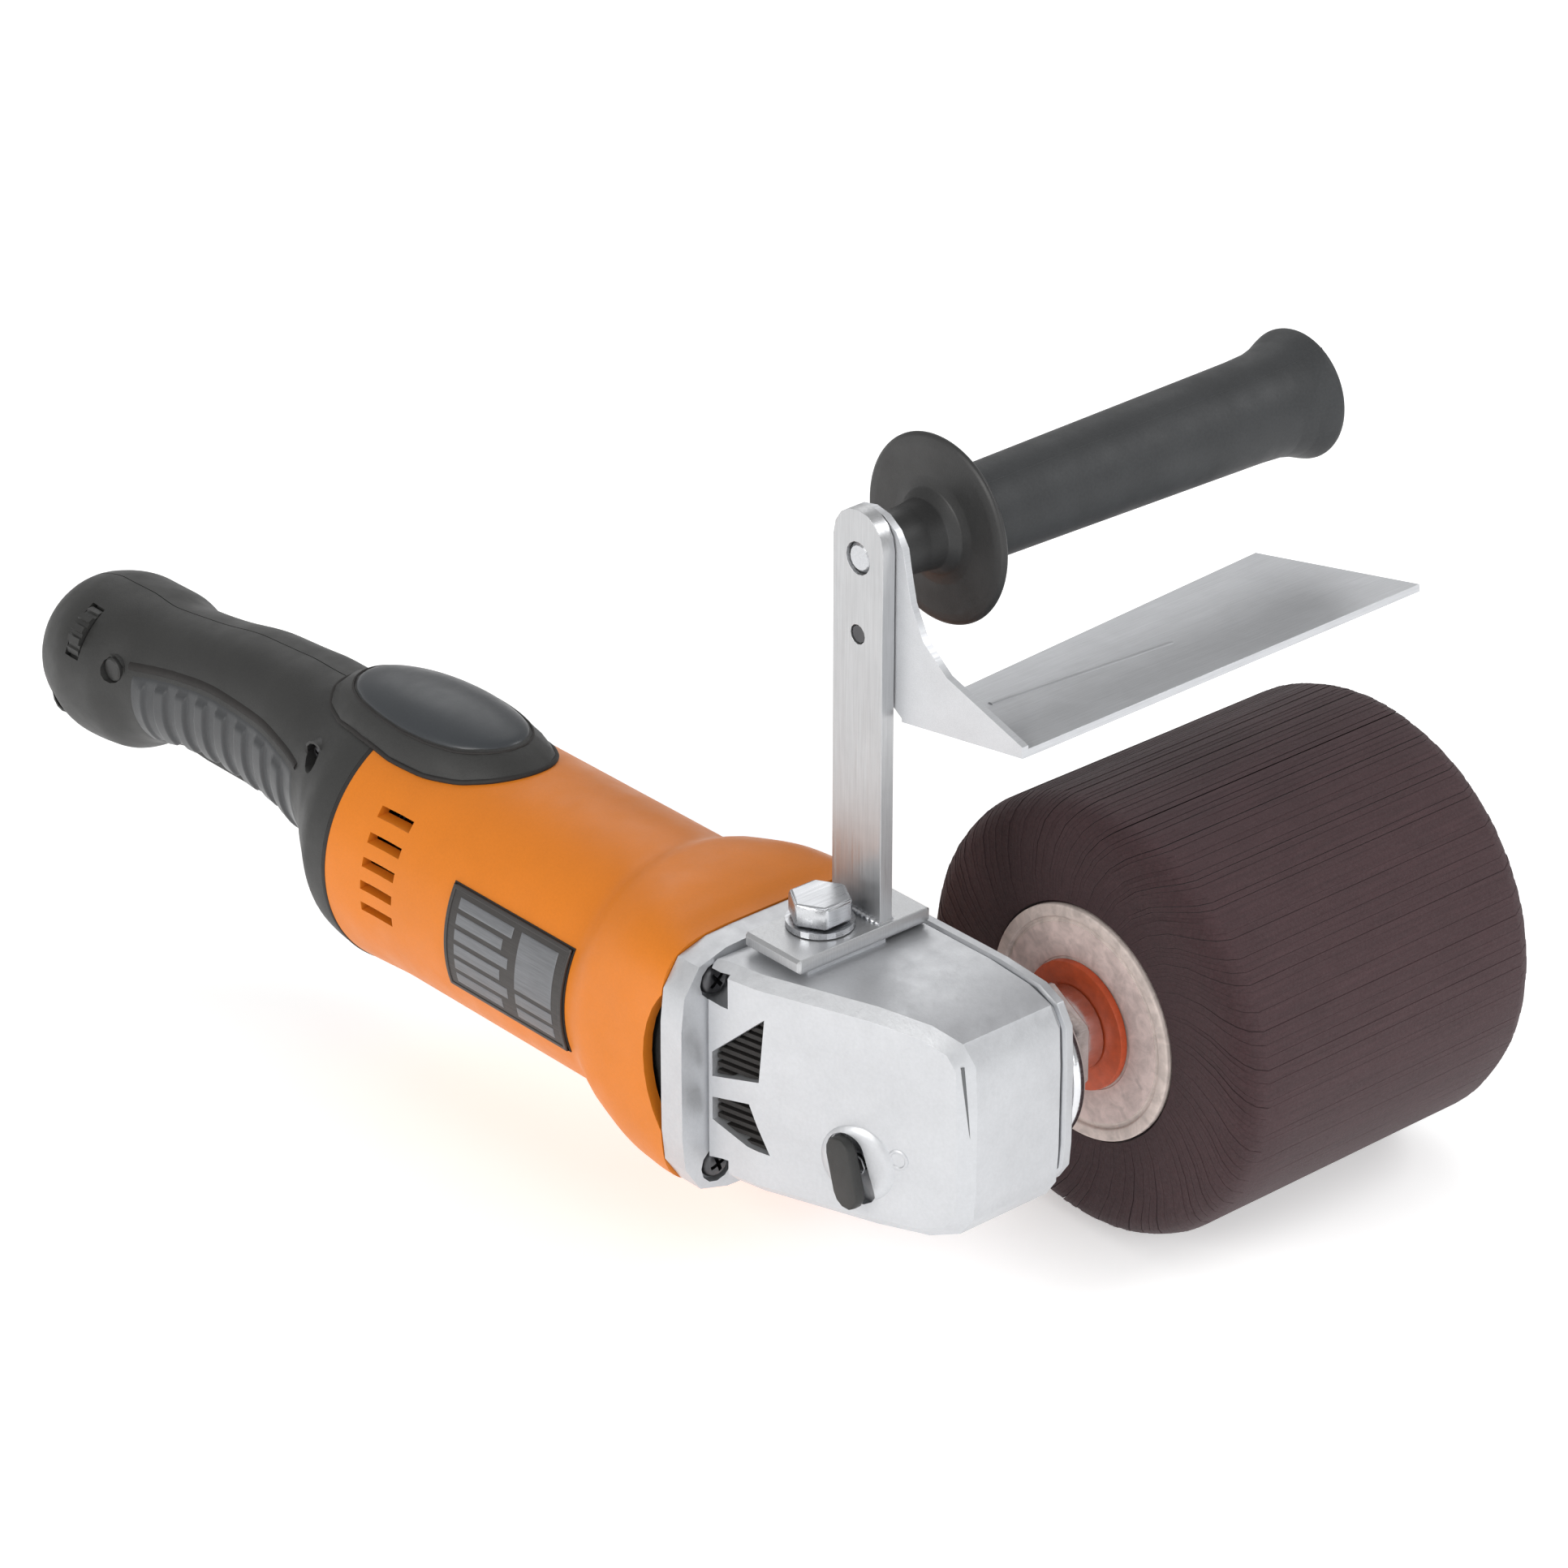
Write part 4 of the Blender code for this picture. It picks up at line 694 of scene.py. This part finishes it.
def housing_screws():
    for number in range(1, 5):
        node = f"gear_housing_screw_{number}"
        low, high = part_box(node)
        face = Vector((high.x - HOUSING_SCREW_HEAD * MM, (low.y + high.y) / 2,
                       (low.z + high.z) / 2))
        radius = (high.y - low.y) / 2 / MM
        shank = (high.x - low.x) / MM - HOUSING_SCREW_HEAD - 0.2
        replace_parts(screw(f"housing_screw_{number}", "X", face, 1, radius, 3.2, shank,
                          20 * number), node)


def cover_screws():
    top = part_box("spindle_cover")[0].y + COVER_FACE * MM
    for number, (x, z) in enumerate(((-21.5, 21.5), (-21.5, -21.5), (19.5, 20.5),
                                     (19.5, -20.5)), 1):
        face = Vector((CENTRE.x + x * MM, top, CENTRE.z + z * MM))
        screw(f"cover_screw_{number}", "Y", face, 1, 3.7, 2.3, 11, 31 * number)


def handle_screws():
    for number, (x, z) in enumerate(((-212, 22), (-212, -14), (-309, 11), (-338, -9)), 1):
        middle, half_y, half_z, squareness = body_section(x)
        share = 1 - abs((z - middle) / half_z) ** squareness
        side = half_y * share ** (1 / squareness)
        screw(f"handle_screw_{number}", "Y", at(x, -side + HANDLE_SCREW_SINK, z), -1,
              3.2, 2.2, 9, 25 * number)
        if number == 3:
            plug = [(0, 2.4), (3.35, 2.4), (3.5, 1.8), (3.5, 0.35), (3.1, -0.05), (1.6, -0.15),
                    (0, -0.15)]
            turned("handle_screw_plug", "Y", at(x, -side, z), plug, "root", "black_shell")


housing_screws()
cover_screws()
handle_screws()


# ---- rear handle: soft grip with ribs, painted shadow lines along its edge ----
GRIP_START, GRIP_STOP = -303.0, -220.0
RIB_PITCH = 9.6
TRIGGER_CLEARANCE = 10.2     # half width of the hard strip left round the trigger


def smooth(t):
    t = min(max(t, 0.0), 1.0)
    return t * t * (3 - 2 * t)


def grip_edge(x):
    """Angle of the grip moulding's upper edge, from +Y over the top."""
    along = (x - GRIP_START) / (GRIP_STOP - GRIP_START)
    return math.radians(158 + 4 * along - 5 * math.sin(math.pi * along))


def soft_grip(side, label):
    """Ribbed overmoulding on one flank of the handle, sunk into it along its edges."""
    columns, rows = 200, 32
    shape = bmesh.new()
    grid = []
    for i in range(columns + 1):
        x = GRIP_START + (GRIP_STOP - GRIP_START) * i / columns
        first = grip_edge(x)
        last = math.pi + math.acos(min(TRIGGER_CLEARANCE / body_section(x)[1], 1.0))
        row = []
        for j in range(rows + 1):
            v = j / rows
            angle = first + (last - first) * v
            lean = x + 3.0 * v
            rib = smooth((math.cos(2 * math.pi * lean / RIB_PITCH) + 0.45) / 0.8)
            inside = smooth(min(i, columns - i) / 6) * smooth(min(v, 1 - v) * rows / 3)
            ends = smooth((x - GRIP_START - 2) / 6) * smooth((GRIP_STOP - 3 - x) / 8)
            band = smooth((v - 0.10) / 0.10) * smooth((0.97 - v) / 0.08)
            lift = -0.5 + 0.75 * inside + 1.05 * rib * ends * band * inside
            spot = on_body(x, angle, lift)
            row.append(shape.verts.new((spot.x, CENTRE.y - side * (spot.y - CENTRE.y),
                                        spot.z)))
        grid.append(row)
    for near, far in zip(grid, grid[1:]):
        strip(shape, *((near, far) if side > 0 else (far, near)))
    grip = shown(f"soft_grip_{label}", shape, "root", "grip_rubber", angle=60)
    backing = grip.modifiers.new("Backing", "SOLIDIFY")
    backing.thickness = 0.5 * MM
    backing.offset = 1.0


def bead(name, points, radius, slot, look, closed=False, taper=1.0):
    """A thin round bead along a line of points, which may thin out towards its end."""
    data = bpy.data.curves.new(name, "CURVE")
    data.dimensions = "3D"
    data.bevel_depth = radius * MM
    data.bevel_resolution = 3
    data.use_fill_caps = True
    spline = data.splines.new("POLY")
    spline.points.add(len(points) - 1)
    for number, (point, place) in enumerate(zip(spline.points, points)):
        point.co = (*place, 1)
        point.radius = 1 + (taper - 1) * number / len(points)
    spline.use_cyclic_u = closed
    guide = bpy.data.objects.new(name, data)
    bpy.context.scene.collection.objects.link(guide)
    shape = bmesh.new()
    shape.from_mesh(applied(guide))
    bpy.data.objects.remove(guide)
    bmesh.ops.remove_doubles(shape, verts=shape.verts, dist=0.002 * MM)
    shown(name, outward(shape), "root", slot, look, 50)


def grip_shadow_lines():
    """Wide dark bead of painted shadow round each soft grip, where the hard shell meets it."""
    for side, label in ((-1, "right"), (1, "left")):
        points = []
        for i in range(81):
            x = GRIP_START - 0.6 + (GRIP_STOP - GRIP_START + 1.2) * i / 80
            spot = on_body(x, grip_edge(x) - math.radians(3.2), -1.25)
            points.append((spot.x, CENTRE.y - side * (CENTRE.y - spot.y), spot.z))
        # wide near-black bead: painted shadow under the hard shell's edge
        bead(f"grip_shadow_line_{label}", points, 1.75, "black_shell", SHADOW)


soft_grip(1, "right")
soft_grip(-1, "left")
grip_shadow_lines()


def rim_line(node):
    """The longest closed line of points along a node's sharp edges."""
    shape = welded(node)
    rim = [e for e in shape.edges if len(e.link_faces) == 2
           and e.calc_face_angle(0) > math.radians(38)]
    links = {}
    for edge in rim:
        for a, b in (edge.verts, reversed(edge.verts)):
            links.setdefault(a, []).append(b)
    loops, seen = [], set()
    for start in links:
        if start in seen or len(links[start]) != 2:
            continue
        line, here = [], start
        while here is not None and here not in seen:
            seen.add(here)
            line.append(here.co.copy())
            here = next((v for v in links[here] if v not in seen), None)
        loops.append(line)
    shape.free()
    return sorted(loops, key=len)[-1]


def resampled(points, count):
    """Evenly spaced, slightly rounded copy of a closed line."""
    line = points + [points[0]]
    lengths = [0.0]
    for a, b in zip(line, line[1:]):
        lengths.append(lengths[-1] + (b - a).length)
    out, k = [], 0
    for i in range(count):
        want = lengths[-1] * i / count
        while lengths[k + 1] < want:
            k += 1
        part = (want - lengths[k]) / max(lengths[k + 1] - lengths[k], 1e-9)
        out.append(line[k].lerp(line[k + 1], part))
    for _ in range(6):
        out = [(out[i - 1] + out[i] * 2 + out[(i + 1) % count]) / 4 for i in range(count)]
    return out


PANEL_MIDDLE, PANEL_RADII = (-183, 0, 29), (45, 20, 15.5)
COLLAR_X, COLLAR_RADIUS = -191.0, 37.0


def panel_trim():
    """Smooth pad on the top panel's crown, in a fine groove drawn as a dark bead of painted shade, and a dark line
    of painted shadow round the panel.
    """
    loop = resampled(rim_line("top_panel"), 140)
    middle = sum(loop, Vector()) / len(loop)
    dome, (half_x, half_y, half_z) = at(*PANEL_MIDDLE), (v * MM for v in PANEL_RADII)

    def spot(point, share, lift):
        x, y = (middle + (point - middle) * share).xy
        rest = 1 - ((x - dome.x) / half_x) ** 2 - ((y - dome.y) / half_y) ** 2
        return Vector((x, y, dome.z + half_z * math.sqrt(max(rest, 0)) + lift * MM))

    shape = bmesh.new()
    shares = [0.12 * k for k in range(1, 6)] + [0.68, 0.72, 0.75, 0.765, 0.775]
    lifts = [0.35] * 6 + [0.32, 0.2, -0.05, -0.6]
    hub = shape.verts.new(spot(middle, 0, 0.35))
    rings = [[shape.verts.new(spot(p, share, lift)) for p in loop]
             for share, lift in zip(shares, lifts)]
    rings.append([shape.verts.new(v.co - Vector((0, 0, 0.4 * MM))) for v in rings[-1]])
    for one, other in zip(rings[0], rings[0][1:] + rings[0][:1]):
        shape.faces.new((hub, one, other))
    for near, far in zip(rings, rings[1:]):
        strip(shape, far, near, True)
    shape.faces.new(rings[-1][::-1])
    shown("panel_inlay", outward(shape), "root", "black_shell", INLAY, 50)
    # dark bead painted as the shade in a fine groove
    bead("panel_groove_shade", [spot(p, 0.80, -0.25) for p in loop], 0.42, "black_shell", SHADOW,
         True)
    # dark bead: painted shadow round the panel's edge
    bead("panel_shadow_line", loop, 0.75, "black_shell", SHADOW, True)


def collar_shadow_ring():
    """Dark ring of painted shadow between the motor housing and the rear handle."""
    section = [(-1.2, -0.2), (0.10, -0.1), (0.22, 0.3), (0.18, 1.1), (-0.3, 1.4), (-1.2, 1.0)]
    turned("collar_shadow_ring", "X", CENTRE, [(COLLAR_RADIUS + r, COLLAR_X + x) for r, x in section],
           "root", "black_shell", SHADOW, 128)


panel_trim()
collar_shadow_ring()


# ---- data plate ----
def curved_pad(name, spans, turns, radius, height, look, soft):
    """A thin pad bent round the motor housing's -Y side, with edges rounded by soft."""
    length, across = spans[1] - spans[0], radius * (turns[1] - turns[0])

    def stops(size, pitch):
        """Places from edge to edge about a pitch apart, closer where the edge rounds."""
        steps = max(int(size / pitch), 6)
        inner = [soft + (size - 2 * soft) * k / steps for k in range(steps + 1)]
        return [0, soft * 0.4, *inner, size - soft * 0.4, size]

    shape = bmesh.new()
    grid = []
    for along in stops(length, 1.0):
        row = []
        for over in stops(across, 0.8):
            edge = min(along, length - along, over, across - over)
            lift = height * math.sqrt(max(1 - (1 - min(edge / soft, 1)) ** 2, 0))
            angle = turns[0] + over / radius
            row.append(shape.verts.new(at(spans[0] + along, -(radius + lift) * math.cos(angle),
                                          (radius + lift) * math.sin(angle))))
        grid.append(row)
    base = [[shape.verts.new(v.co + (CENTRE - v.co) * Vector((0, 1, 1)) * (0.5 / radius))
             for v in row] for row in grid]
    for i in range(len(grid) - 1):
        strip(shape, grid[i], grid[i + 1])
        strip(shape, base[i][::-1], base[i + 1][::-1])

    def rim(sheet):
        return ([row[0] for row in sheet] + sheet[-1][1:]
                + [row[-1] for row in sheet[-2::-1]] + sheet[0][-2:0:-1])

    strip(shape, rim(grid), rim(base), True)
    return shown(name, outward(shape), "root", "data_plate", look, 40)


def data_plate():
    """Blank plate: dark ground, raised rim and plain bright fields without any marks."""
    radius = -span("rating_plate", "Y")[0] - 0.45
    first, last = (math.asin(z / radius) for z in span("rating_plate", "Z"))
    start, stop = span("rating_plate", "X")
    tall = (last - first) * radius
    rim = 1.3

    def pad(name, spans, sides, lift, height, look, soft=0.25):
        """A pad between two places along the housing and two round it from the lower edge."""
        return curved_pad(name, spans, [first + side / radius for side in sides],
                          radius + lift, height, look, soft)

    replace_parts(pad("data_plate", (start, stop), (0, tall), -0.1, 0.35, PLATE_DARK),
                "rating_plate")

    def border(name, edges, inside, outside, *section):
        """Four strips along the plate's edges: below, above, rear and front."""
        whole = start - outside, stop + outside
        places = ((whole, (-outside, inside)), (whole, (tall - inside, tall + outside)),
                  ((start - outside, start + inside), (0, tall)),
                  ((stop - inside, stop + outside), (0, tall)))
        for edge, place in zip(edges, places):
            pad(f"{name}_{edge}", *place, *section)

    border("data_plate_rim", ("lower", "upper", "rear", "front"), rim, 0,
           0.1, 0.42, PLATE_DARK)
    # thin near-black strips just outside the plate: painted shadow in the gap round it
    border("plate_gap_shadow", ("bottom", "top", "rear", "front"), 0, 0.5, -0.32, 0.12, SHADOW, 0.1)
    rows, gap, inset = 6, 1.1, rim + 1.2
    inner = tall - 2 * inset
    pitch = (inner + gap) / rows
    behind, ahead = start + 29, stop - 4
    fields = []
    for row in range(rows):
        sides = inset + pitch * row, inset + pitch * (row + 1) - gap
        fields.append(((start + 4, start + (26 if row % 2 else 23)), sides))
        if row < 2:
            fields.append(((behind, ahead), sides))
    fields.append(((behind, ahead), (inset + 2 * pitch, inset + inner)))
    for number, (spans, sides) in enumerate(fields, 1):
        pad(f"data_plate_field_{number}", spans, sides, 0.1, 0.28, LOOKS["data_plate"])


data_plate()


# ---- springs ----
def return_spring(node):
    """A smooth copy of a spring, with a mesh of its own, shown instead of the CAD node."""
    coil = stand_in(node, "coil", welded(node), angle=60)
    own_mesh(coil)


return_spring("trigger_spring")
return_spring("spindle_lock_spring")


# ---- side handle ----
def side_handle():
    """Hand flange and flared grip, turned about the stud."""
    across, tall = span("side_handle_grip", "X"), span("side_handle_stud", "Z")
    centre = at(sum(across) / 2, 0, sum(tall) / 2)
    start, end = span("side_handle_grip", "Y")
    rim = radius_of("side_handle_grip")
    flange = [(4.3, start), (8.0, start), (8.4, start + 0.5), (8.6, 24.5), (9.2, 29.5),
              (11.2, 32.0), (14, 32.7), (rim - 3.2, 33.0), (rim - 0.9, 33.35), (rim - 0.15, 33.9),
              (rim - 0.02, 34.4), (rim - 0.5, 35.1), (rim - 2.0, 35.5), (15, 35.9), (13.2, 36.6),
              (12.3, 38.2), (12.1, 41), (11.4, 41.4), (11.4, 42.4), (4.3, 42.4)]
    turned("hand_flange", "Y", centre, softened(flange, 0.3, 2), "root", "grip_rubber",
           FLANGE_BLACK, 128)
    grip = [(0, 43.0), (11.9, 42.6), (12.25, 43.0), (12.3, 50), (13.0, 95), (13.7, 140),
            (14.1, 147.5), (15.2, 152.5), (16.8, 156.6), (17.35, 158.3), (17.1, 159.3),
            (16.1, 160.0), (13.6, end - 0.15), (13.1, end - 0.6), (12.6, end - 0.15),
            (6, end - 0.3), (0, end - 0.4)]
    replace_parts(turned("side_grip", "Y", centre, softened(grip, 0.4, 2), "root",
                       "grip_rubber", HANDLE_GRIP, 128), "side_handle_grip")
    for side, label in ((0, "top"), (180, "bottom")):
        angle = math.radians(62 + side)
        line = [centre + Vector(((radius - 0.06) * math.cos(angle), place,
                                 (radius - 0.06) * math.sin(angle))) * MM
                for radius, place in grip[2:-5]]
        bead(f"grip_parting_line_{label}", line, 0.14, "grip_rubber", HANDLE_GRIP)


side_handle()


# ---- spindle hardware ----
def hardware():
    """Washers, core flanges and the chromed flange, turned about the spindle."""
    body = "spindle_assembly"
    for node, slot in (("inner_washer", "red_washer"), ("outer_washer", "zinc_steel"),
                       ("near_core_flange", "core_board"), ("far_core_flange", "core_board")):
        start, end = span(node, "Y")
        radius = radius_of(node)
        profile = [(7.3, start), (radius, start), (radius, end), (7.3, end)]
        if slot == "core_board":
            out = -1 if start < 100 else 1
            inner, outer = (end, start) if out < 0 else (start, end)
            profile = [(7.3, inner), (radius, inner), (radius, outer + 0.35 * out),
                       (radius - 0.4, outer + 0.6 * out), (radius - 2.9, outer + 0.6 * out),
                       (radius - 3.3, outer + 0.35 * out), (radius - 3.4, outer - 0.25 * out),
                       (radius - 4.0, outer - 0.3 * out), (radius - 4.2, outer), (7.3, outer)]
            label = [(17.9, outer), (radius - 4.7, outer), (radius - 4.8, outer + 0.18 * out),
                     (18.1, outer + 0.18 * out)]
            turned(node + "_label", "Y", CENTRE, label, body, slot, LABEL, 96)
        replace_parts(turned(node + "_disc", "Y", CENTRE, softened(profile, 0.35, 2), body,
                           slot, segments=128), node)
    start = span("inner_flange", "Y")[0]
    profile = [(7.3, start), (23.6, start), (24.3, start + 0.5), (24.6, start + 1.2),
               (24.6, start + 3.2), (24.2, start + 3.9), (23.0, start + 4.4),
               (19, start + 4.7), (18.4, start + 4.3), (16.4, start + 4.4), (15.8, start + 5.0),
               (14.5, start + 5.2), (14, start + 5.8), (14, start + 6.6), (13.5, start + 7.1),
               (7.3, start + 7.1)]
    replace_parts(turned("inner_flange_turned", "Y", CENTRE, profile, body, "zinc_steel",
                       CHROME, 128), "inner_flange")


hardware()


# ---- gear head: dark screens of painted shade in the windows, lock boss, casting mark ----
WINDOWS = {"upper": ((-24, 22.5), (-25.5, 4.2), (-40, 1), (-40, 8)),
           "lower": ((-40, -5), (-28.5, -3), (-22.5, -16), (-29, -15.5), (-40, -11.5))}
FACE_BREAK, NECK_SLOPE, HEAD_SLOPE = (-26.0, -27.0), 0.1875, 0.352
LOCK_AT, LOCK_TILT = (0.0, -12.5), math.radians(16)


def face_y(x):
    """Y of the head's sloping -Y face at an X."""
    slope = NECK_SLOPE if x < FACE_BREAK[0] else HEAD_SLOPE
    return FACE_BREAK[1] + slope * (x - FACE_BREAK[0])


def prism(outline, near, far):
    """A closed bmesh between two faces with the same X, Z outline; near and far give Y."""
    shape = bmesh.new()
    front = [shape.verts.new(at(x, near(x), z)) for x, z in outline]
    back = [shape.verts.new(at(x, far(x), z)) for x, z in outline]
    shape.faces.new(front)
    shape.faces.new(back[::-1])
    strip(shape, back, front, True)
    return outward(shape)


def window_shade_screens():
    """Slotted near-black screens set back in the air windows, as painted shade inside them."""
    for label, corners in WINDOWS.items():
        middle = Vector((sum(x for x, _ in corners), sum(z for _, z in corners))) / len(corners)
        outline = [tuple(middle + (Vector(c) - middle) * 0.955) for c in corners]
        screen = shown(f"window_shade_screen_{label}", prism(outline, lambda x: face_y(x) + 1.6,
                       lambda x: face_y(x) + 6.5), "root", "black_shell", SHADOW)
        slots, z = [], min(z for _, z in outline) + 1.6
        while z < max(z for _, z in outline):
            slots.append(block(at(-32, face_y(-32) + 1.4, z), (26, 3.4, 1.1),
                               Matrix.Rotation(math.atan(NECK_SLOPE), 3, "Z")))
            z += 2.3
        carved(screen, *slots)


def on_face(name, profile, x, z, segments):
    """A turned casting detail that stands on the head's sloping -Y face."""
    shape = lathe(bmesh.new(), "Y", Vector(), profile, segments)
    bmesh.ops.rotate(shape, matrix=Matrix.Rotation(math.atan(HEAD_SLOPE), 3, "Z"),
                     verts=shape.verts)
    bmesh.ops.translate(shape, vec=at(x, face_y(x), z), verts=shape.verts)
    return shown(name, outward(shape), "root", "cast_alloy")


def lock_boss():
    """Low round boss in the casting, with a cut-out that clears the lock button."""
    profile = [(0, 2.0), (10.6, 2.0), (10.6, 0.15), (10.2, -0.25), (9.4, -0.75), (8.6, -1.05),
               (7.6, -1.15), (0, -1.15)]
    boss = on_face("lock_boss", softened(profile, 0.5), 1.2, -10.6, 96)
    along = Vector((-math.sin(LOCK_TILT), math.cos(LOCK_TILT)))
    side = Vector((along.y, -along.x))
    outline = []
    for k in range(48):
        a = 2 * math.pi * k / 48
        end = 5.2 if math.sin(a) >= 0 else -5.2
        p = Vector(LOCK_AT) + along * (end + 5.0 * math.sin(a)) + side * 5.0 * math.cos(a)
        outline.append(tuple(p))
    carved(boss, bare("cutter", prism(outline, lambda x: -30.0, lambda x: -10.0)))


def casting_mark():
    """Plain raised ring beside the lock boss."""
    ring = [(1.9, 0.5), (1.9, -0.05), (2.15, -0.28), (2.5, -0.3), (2.85, -0.1), (3.0, 0.5)]
    on_face("casting_mark_1", ring, 11.8, -6.5, 48)


def nose_groove_shade():
    """Dark bead down the corner between the head's face and its nose, painted as the shade of a parting groove."""
    shape = bmesh.new()
    shape.from_mesh(frame["nodes"]["gear_housing"].data)
    skin = BVHTree.FromBMesh(shape)
    shape.free()
    way = Vector((-0.8, 0.6, 0))
    points = []
    for k in range(25):
        t = k / 24
        aim = at(28.2 + 1.0 * t, -7.6 + 2.6 * t, 24 - 26 * t)
        hit = skin.ray_cast(aim - way * 0.05, way)[0]
        points.append(hit + way * 0.0002)
    bead("nose_groove_shade", points, 0.55, "cast_alloy", GROOVE_SHADE, taper=0.15)


def guard_bead():
    """Shallow pressed bead along the guard plate."""
    points = []
    for k in range(41):
        x = -4 + 6 * k / 40
        points.append(at(x, 30 + 56 * k / 40, 95.65 + 0.15 * (x + 17)))
    bead("guard_bead", points, 1.8, "zinc_steel", SHEET)


window_shade_screens()
lock_boss()
casting_mark()
nose_groove_shade()
guard_bead()


# ---- weld beads where the bar stands on its foot ----
def weld_beads():
    """Rippled fillets along the front and the back of the bar."""
    foot_top = at(0, 0, 39).z
    left, right = at(-37.5, 0, 0).x, at(-19.5, 0, 0).x
    draw = random.Random(5)
    steps, around = 72, 9
    for label, y, out in (("front", 8.0, -1), ("back", 12.0, 1)):
        shape = bmesh.new()
        rows = []
        for i in range(steps + 1):
            t = i / steps
            ripple = 0.85 + 0.15 * abs(math.sin(math.pi * t * 11)) + draw.uniform(-0.03, 0.03)
            taper = max(math.sin(math.pi * min(max(t, 0.02), 0.98)), 0.1) ** 0.25
            size = 1.9 * ripple * taper
            place = left + (right - left) * t
            row = []
            for k in range(around):
                a = math.pi / 2 * k / (around - 1)
                bulge = size * (0.82 + 0.18 * math.sin(2 * a))
                row.append(shape.verts.new((
                    place, at(0, y, 0).y + out * (bulge * math.cos(a) - 0.2) * MM,
                    foot_top + (bulge * math.sin(a) - 0.2) * MM)))
            row.append(shape.verts.new((place, at(0, y - 0.6 * out, 0).y,
                                        foot_top - 0.6 * MM)))
            rows.append(row)
        for near, far in zip(rows, rows[1:]):
            strip(shape, near, far, True)
        shape.faces.new(rows[0])
        shape.faces.new(rows[-1][::-1])
        shown(f"weld_bead_{label}", outward(shape), "root", "zinc_steel", angle=50)


weld_beads()


# ---- camera, floor and light ----
def studio():
    """Camera at the photograph's angle, pale floor and soft lights."""
    data = bpy.data.cameras.new("camera")
    data.lens, data.sensor_width, data.sensor_fit = CAMERA_LENS, SENSOR, "HORIZONTAL"
    data.clip_start, data.clip_end = 0.05, 30
    camera = bpy.data.objects.new("camera", data)
    camera.location = CENTRE + CAMERA_OFFSET
    camera.rotation_euler = (CAMERA_TILT, 0, CAMERA_TURN)
    bpy.context.scene.collection.objects.link(camera)
    bpy.context.scene.camera = camera

    floor_shape = bmesh.new()
    bmesh.ops.create_grid(floor_shape, x_segments=2, y_segments=2, size=6)
    floor = bare("floor", floor_shape)
    floor.location = (0, 0, -0.0004)
    paper = Look("floor_paper", 0.85)
    paper.colour(paper.between(paper.noise(60, 3), 0.90, 0.92))
    paper.rough(paper.noise(20, 2), 0.82, 0.9)
    paper.set(Emission_Color=(1, 1, 1, 1), Emission_Strength=0.42)
    dress(floor, paper)

    for name, place, size, power, tone in (
            ("key", (0.2, -1.9, 1.0), 1.1, 20, (1.0, 0.99, 0.97)),
            ("fill", (1.9, -0.3, 0.8), 1.4, 10, (0.97, 0.985, 1.0)),
            ("top", (0.95, 1.15, 1.3), 0.8, 9, (1, 1, 1)),
            ("back", (-1.4, 0.9, 1.4), 1.4, 6, (1, 1, 1))):
        light = bpy.data.lights.new(name, "AREA")
        light.shape, light.size, light.energy, light.color = "DISK", size, power, tone
        lamp = bpy.data.objects.new(name, light)
        lamp.location = place
        aim = Vector((0, 0, 0.08)) - Vector(place)
        lamp.rotation_euler = aim.to_track_quat("-Z", "Y").to_euler()
        bpy.context.scene.collection.objects.link(lamp)
    world = bpy.data.worlds.new("studio")
    world.use_nodes = True
    background = world.node_tree.nodes["Background"]
    background.inputs["Color"].default_value = (1, 1, 1, 1)
    background.inputs["Strength"].default_value = 0.48
    bpy.context.scene.world = world
    bpy.context.scene.view_settings.view_transform = "Standard"


studio()
bpy.context.view_layer.update()
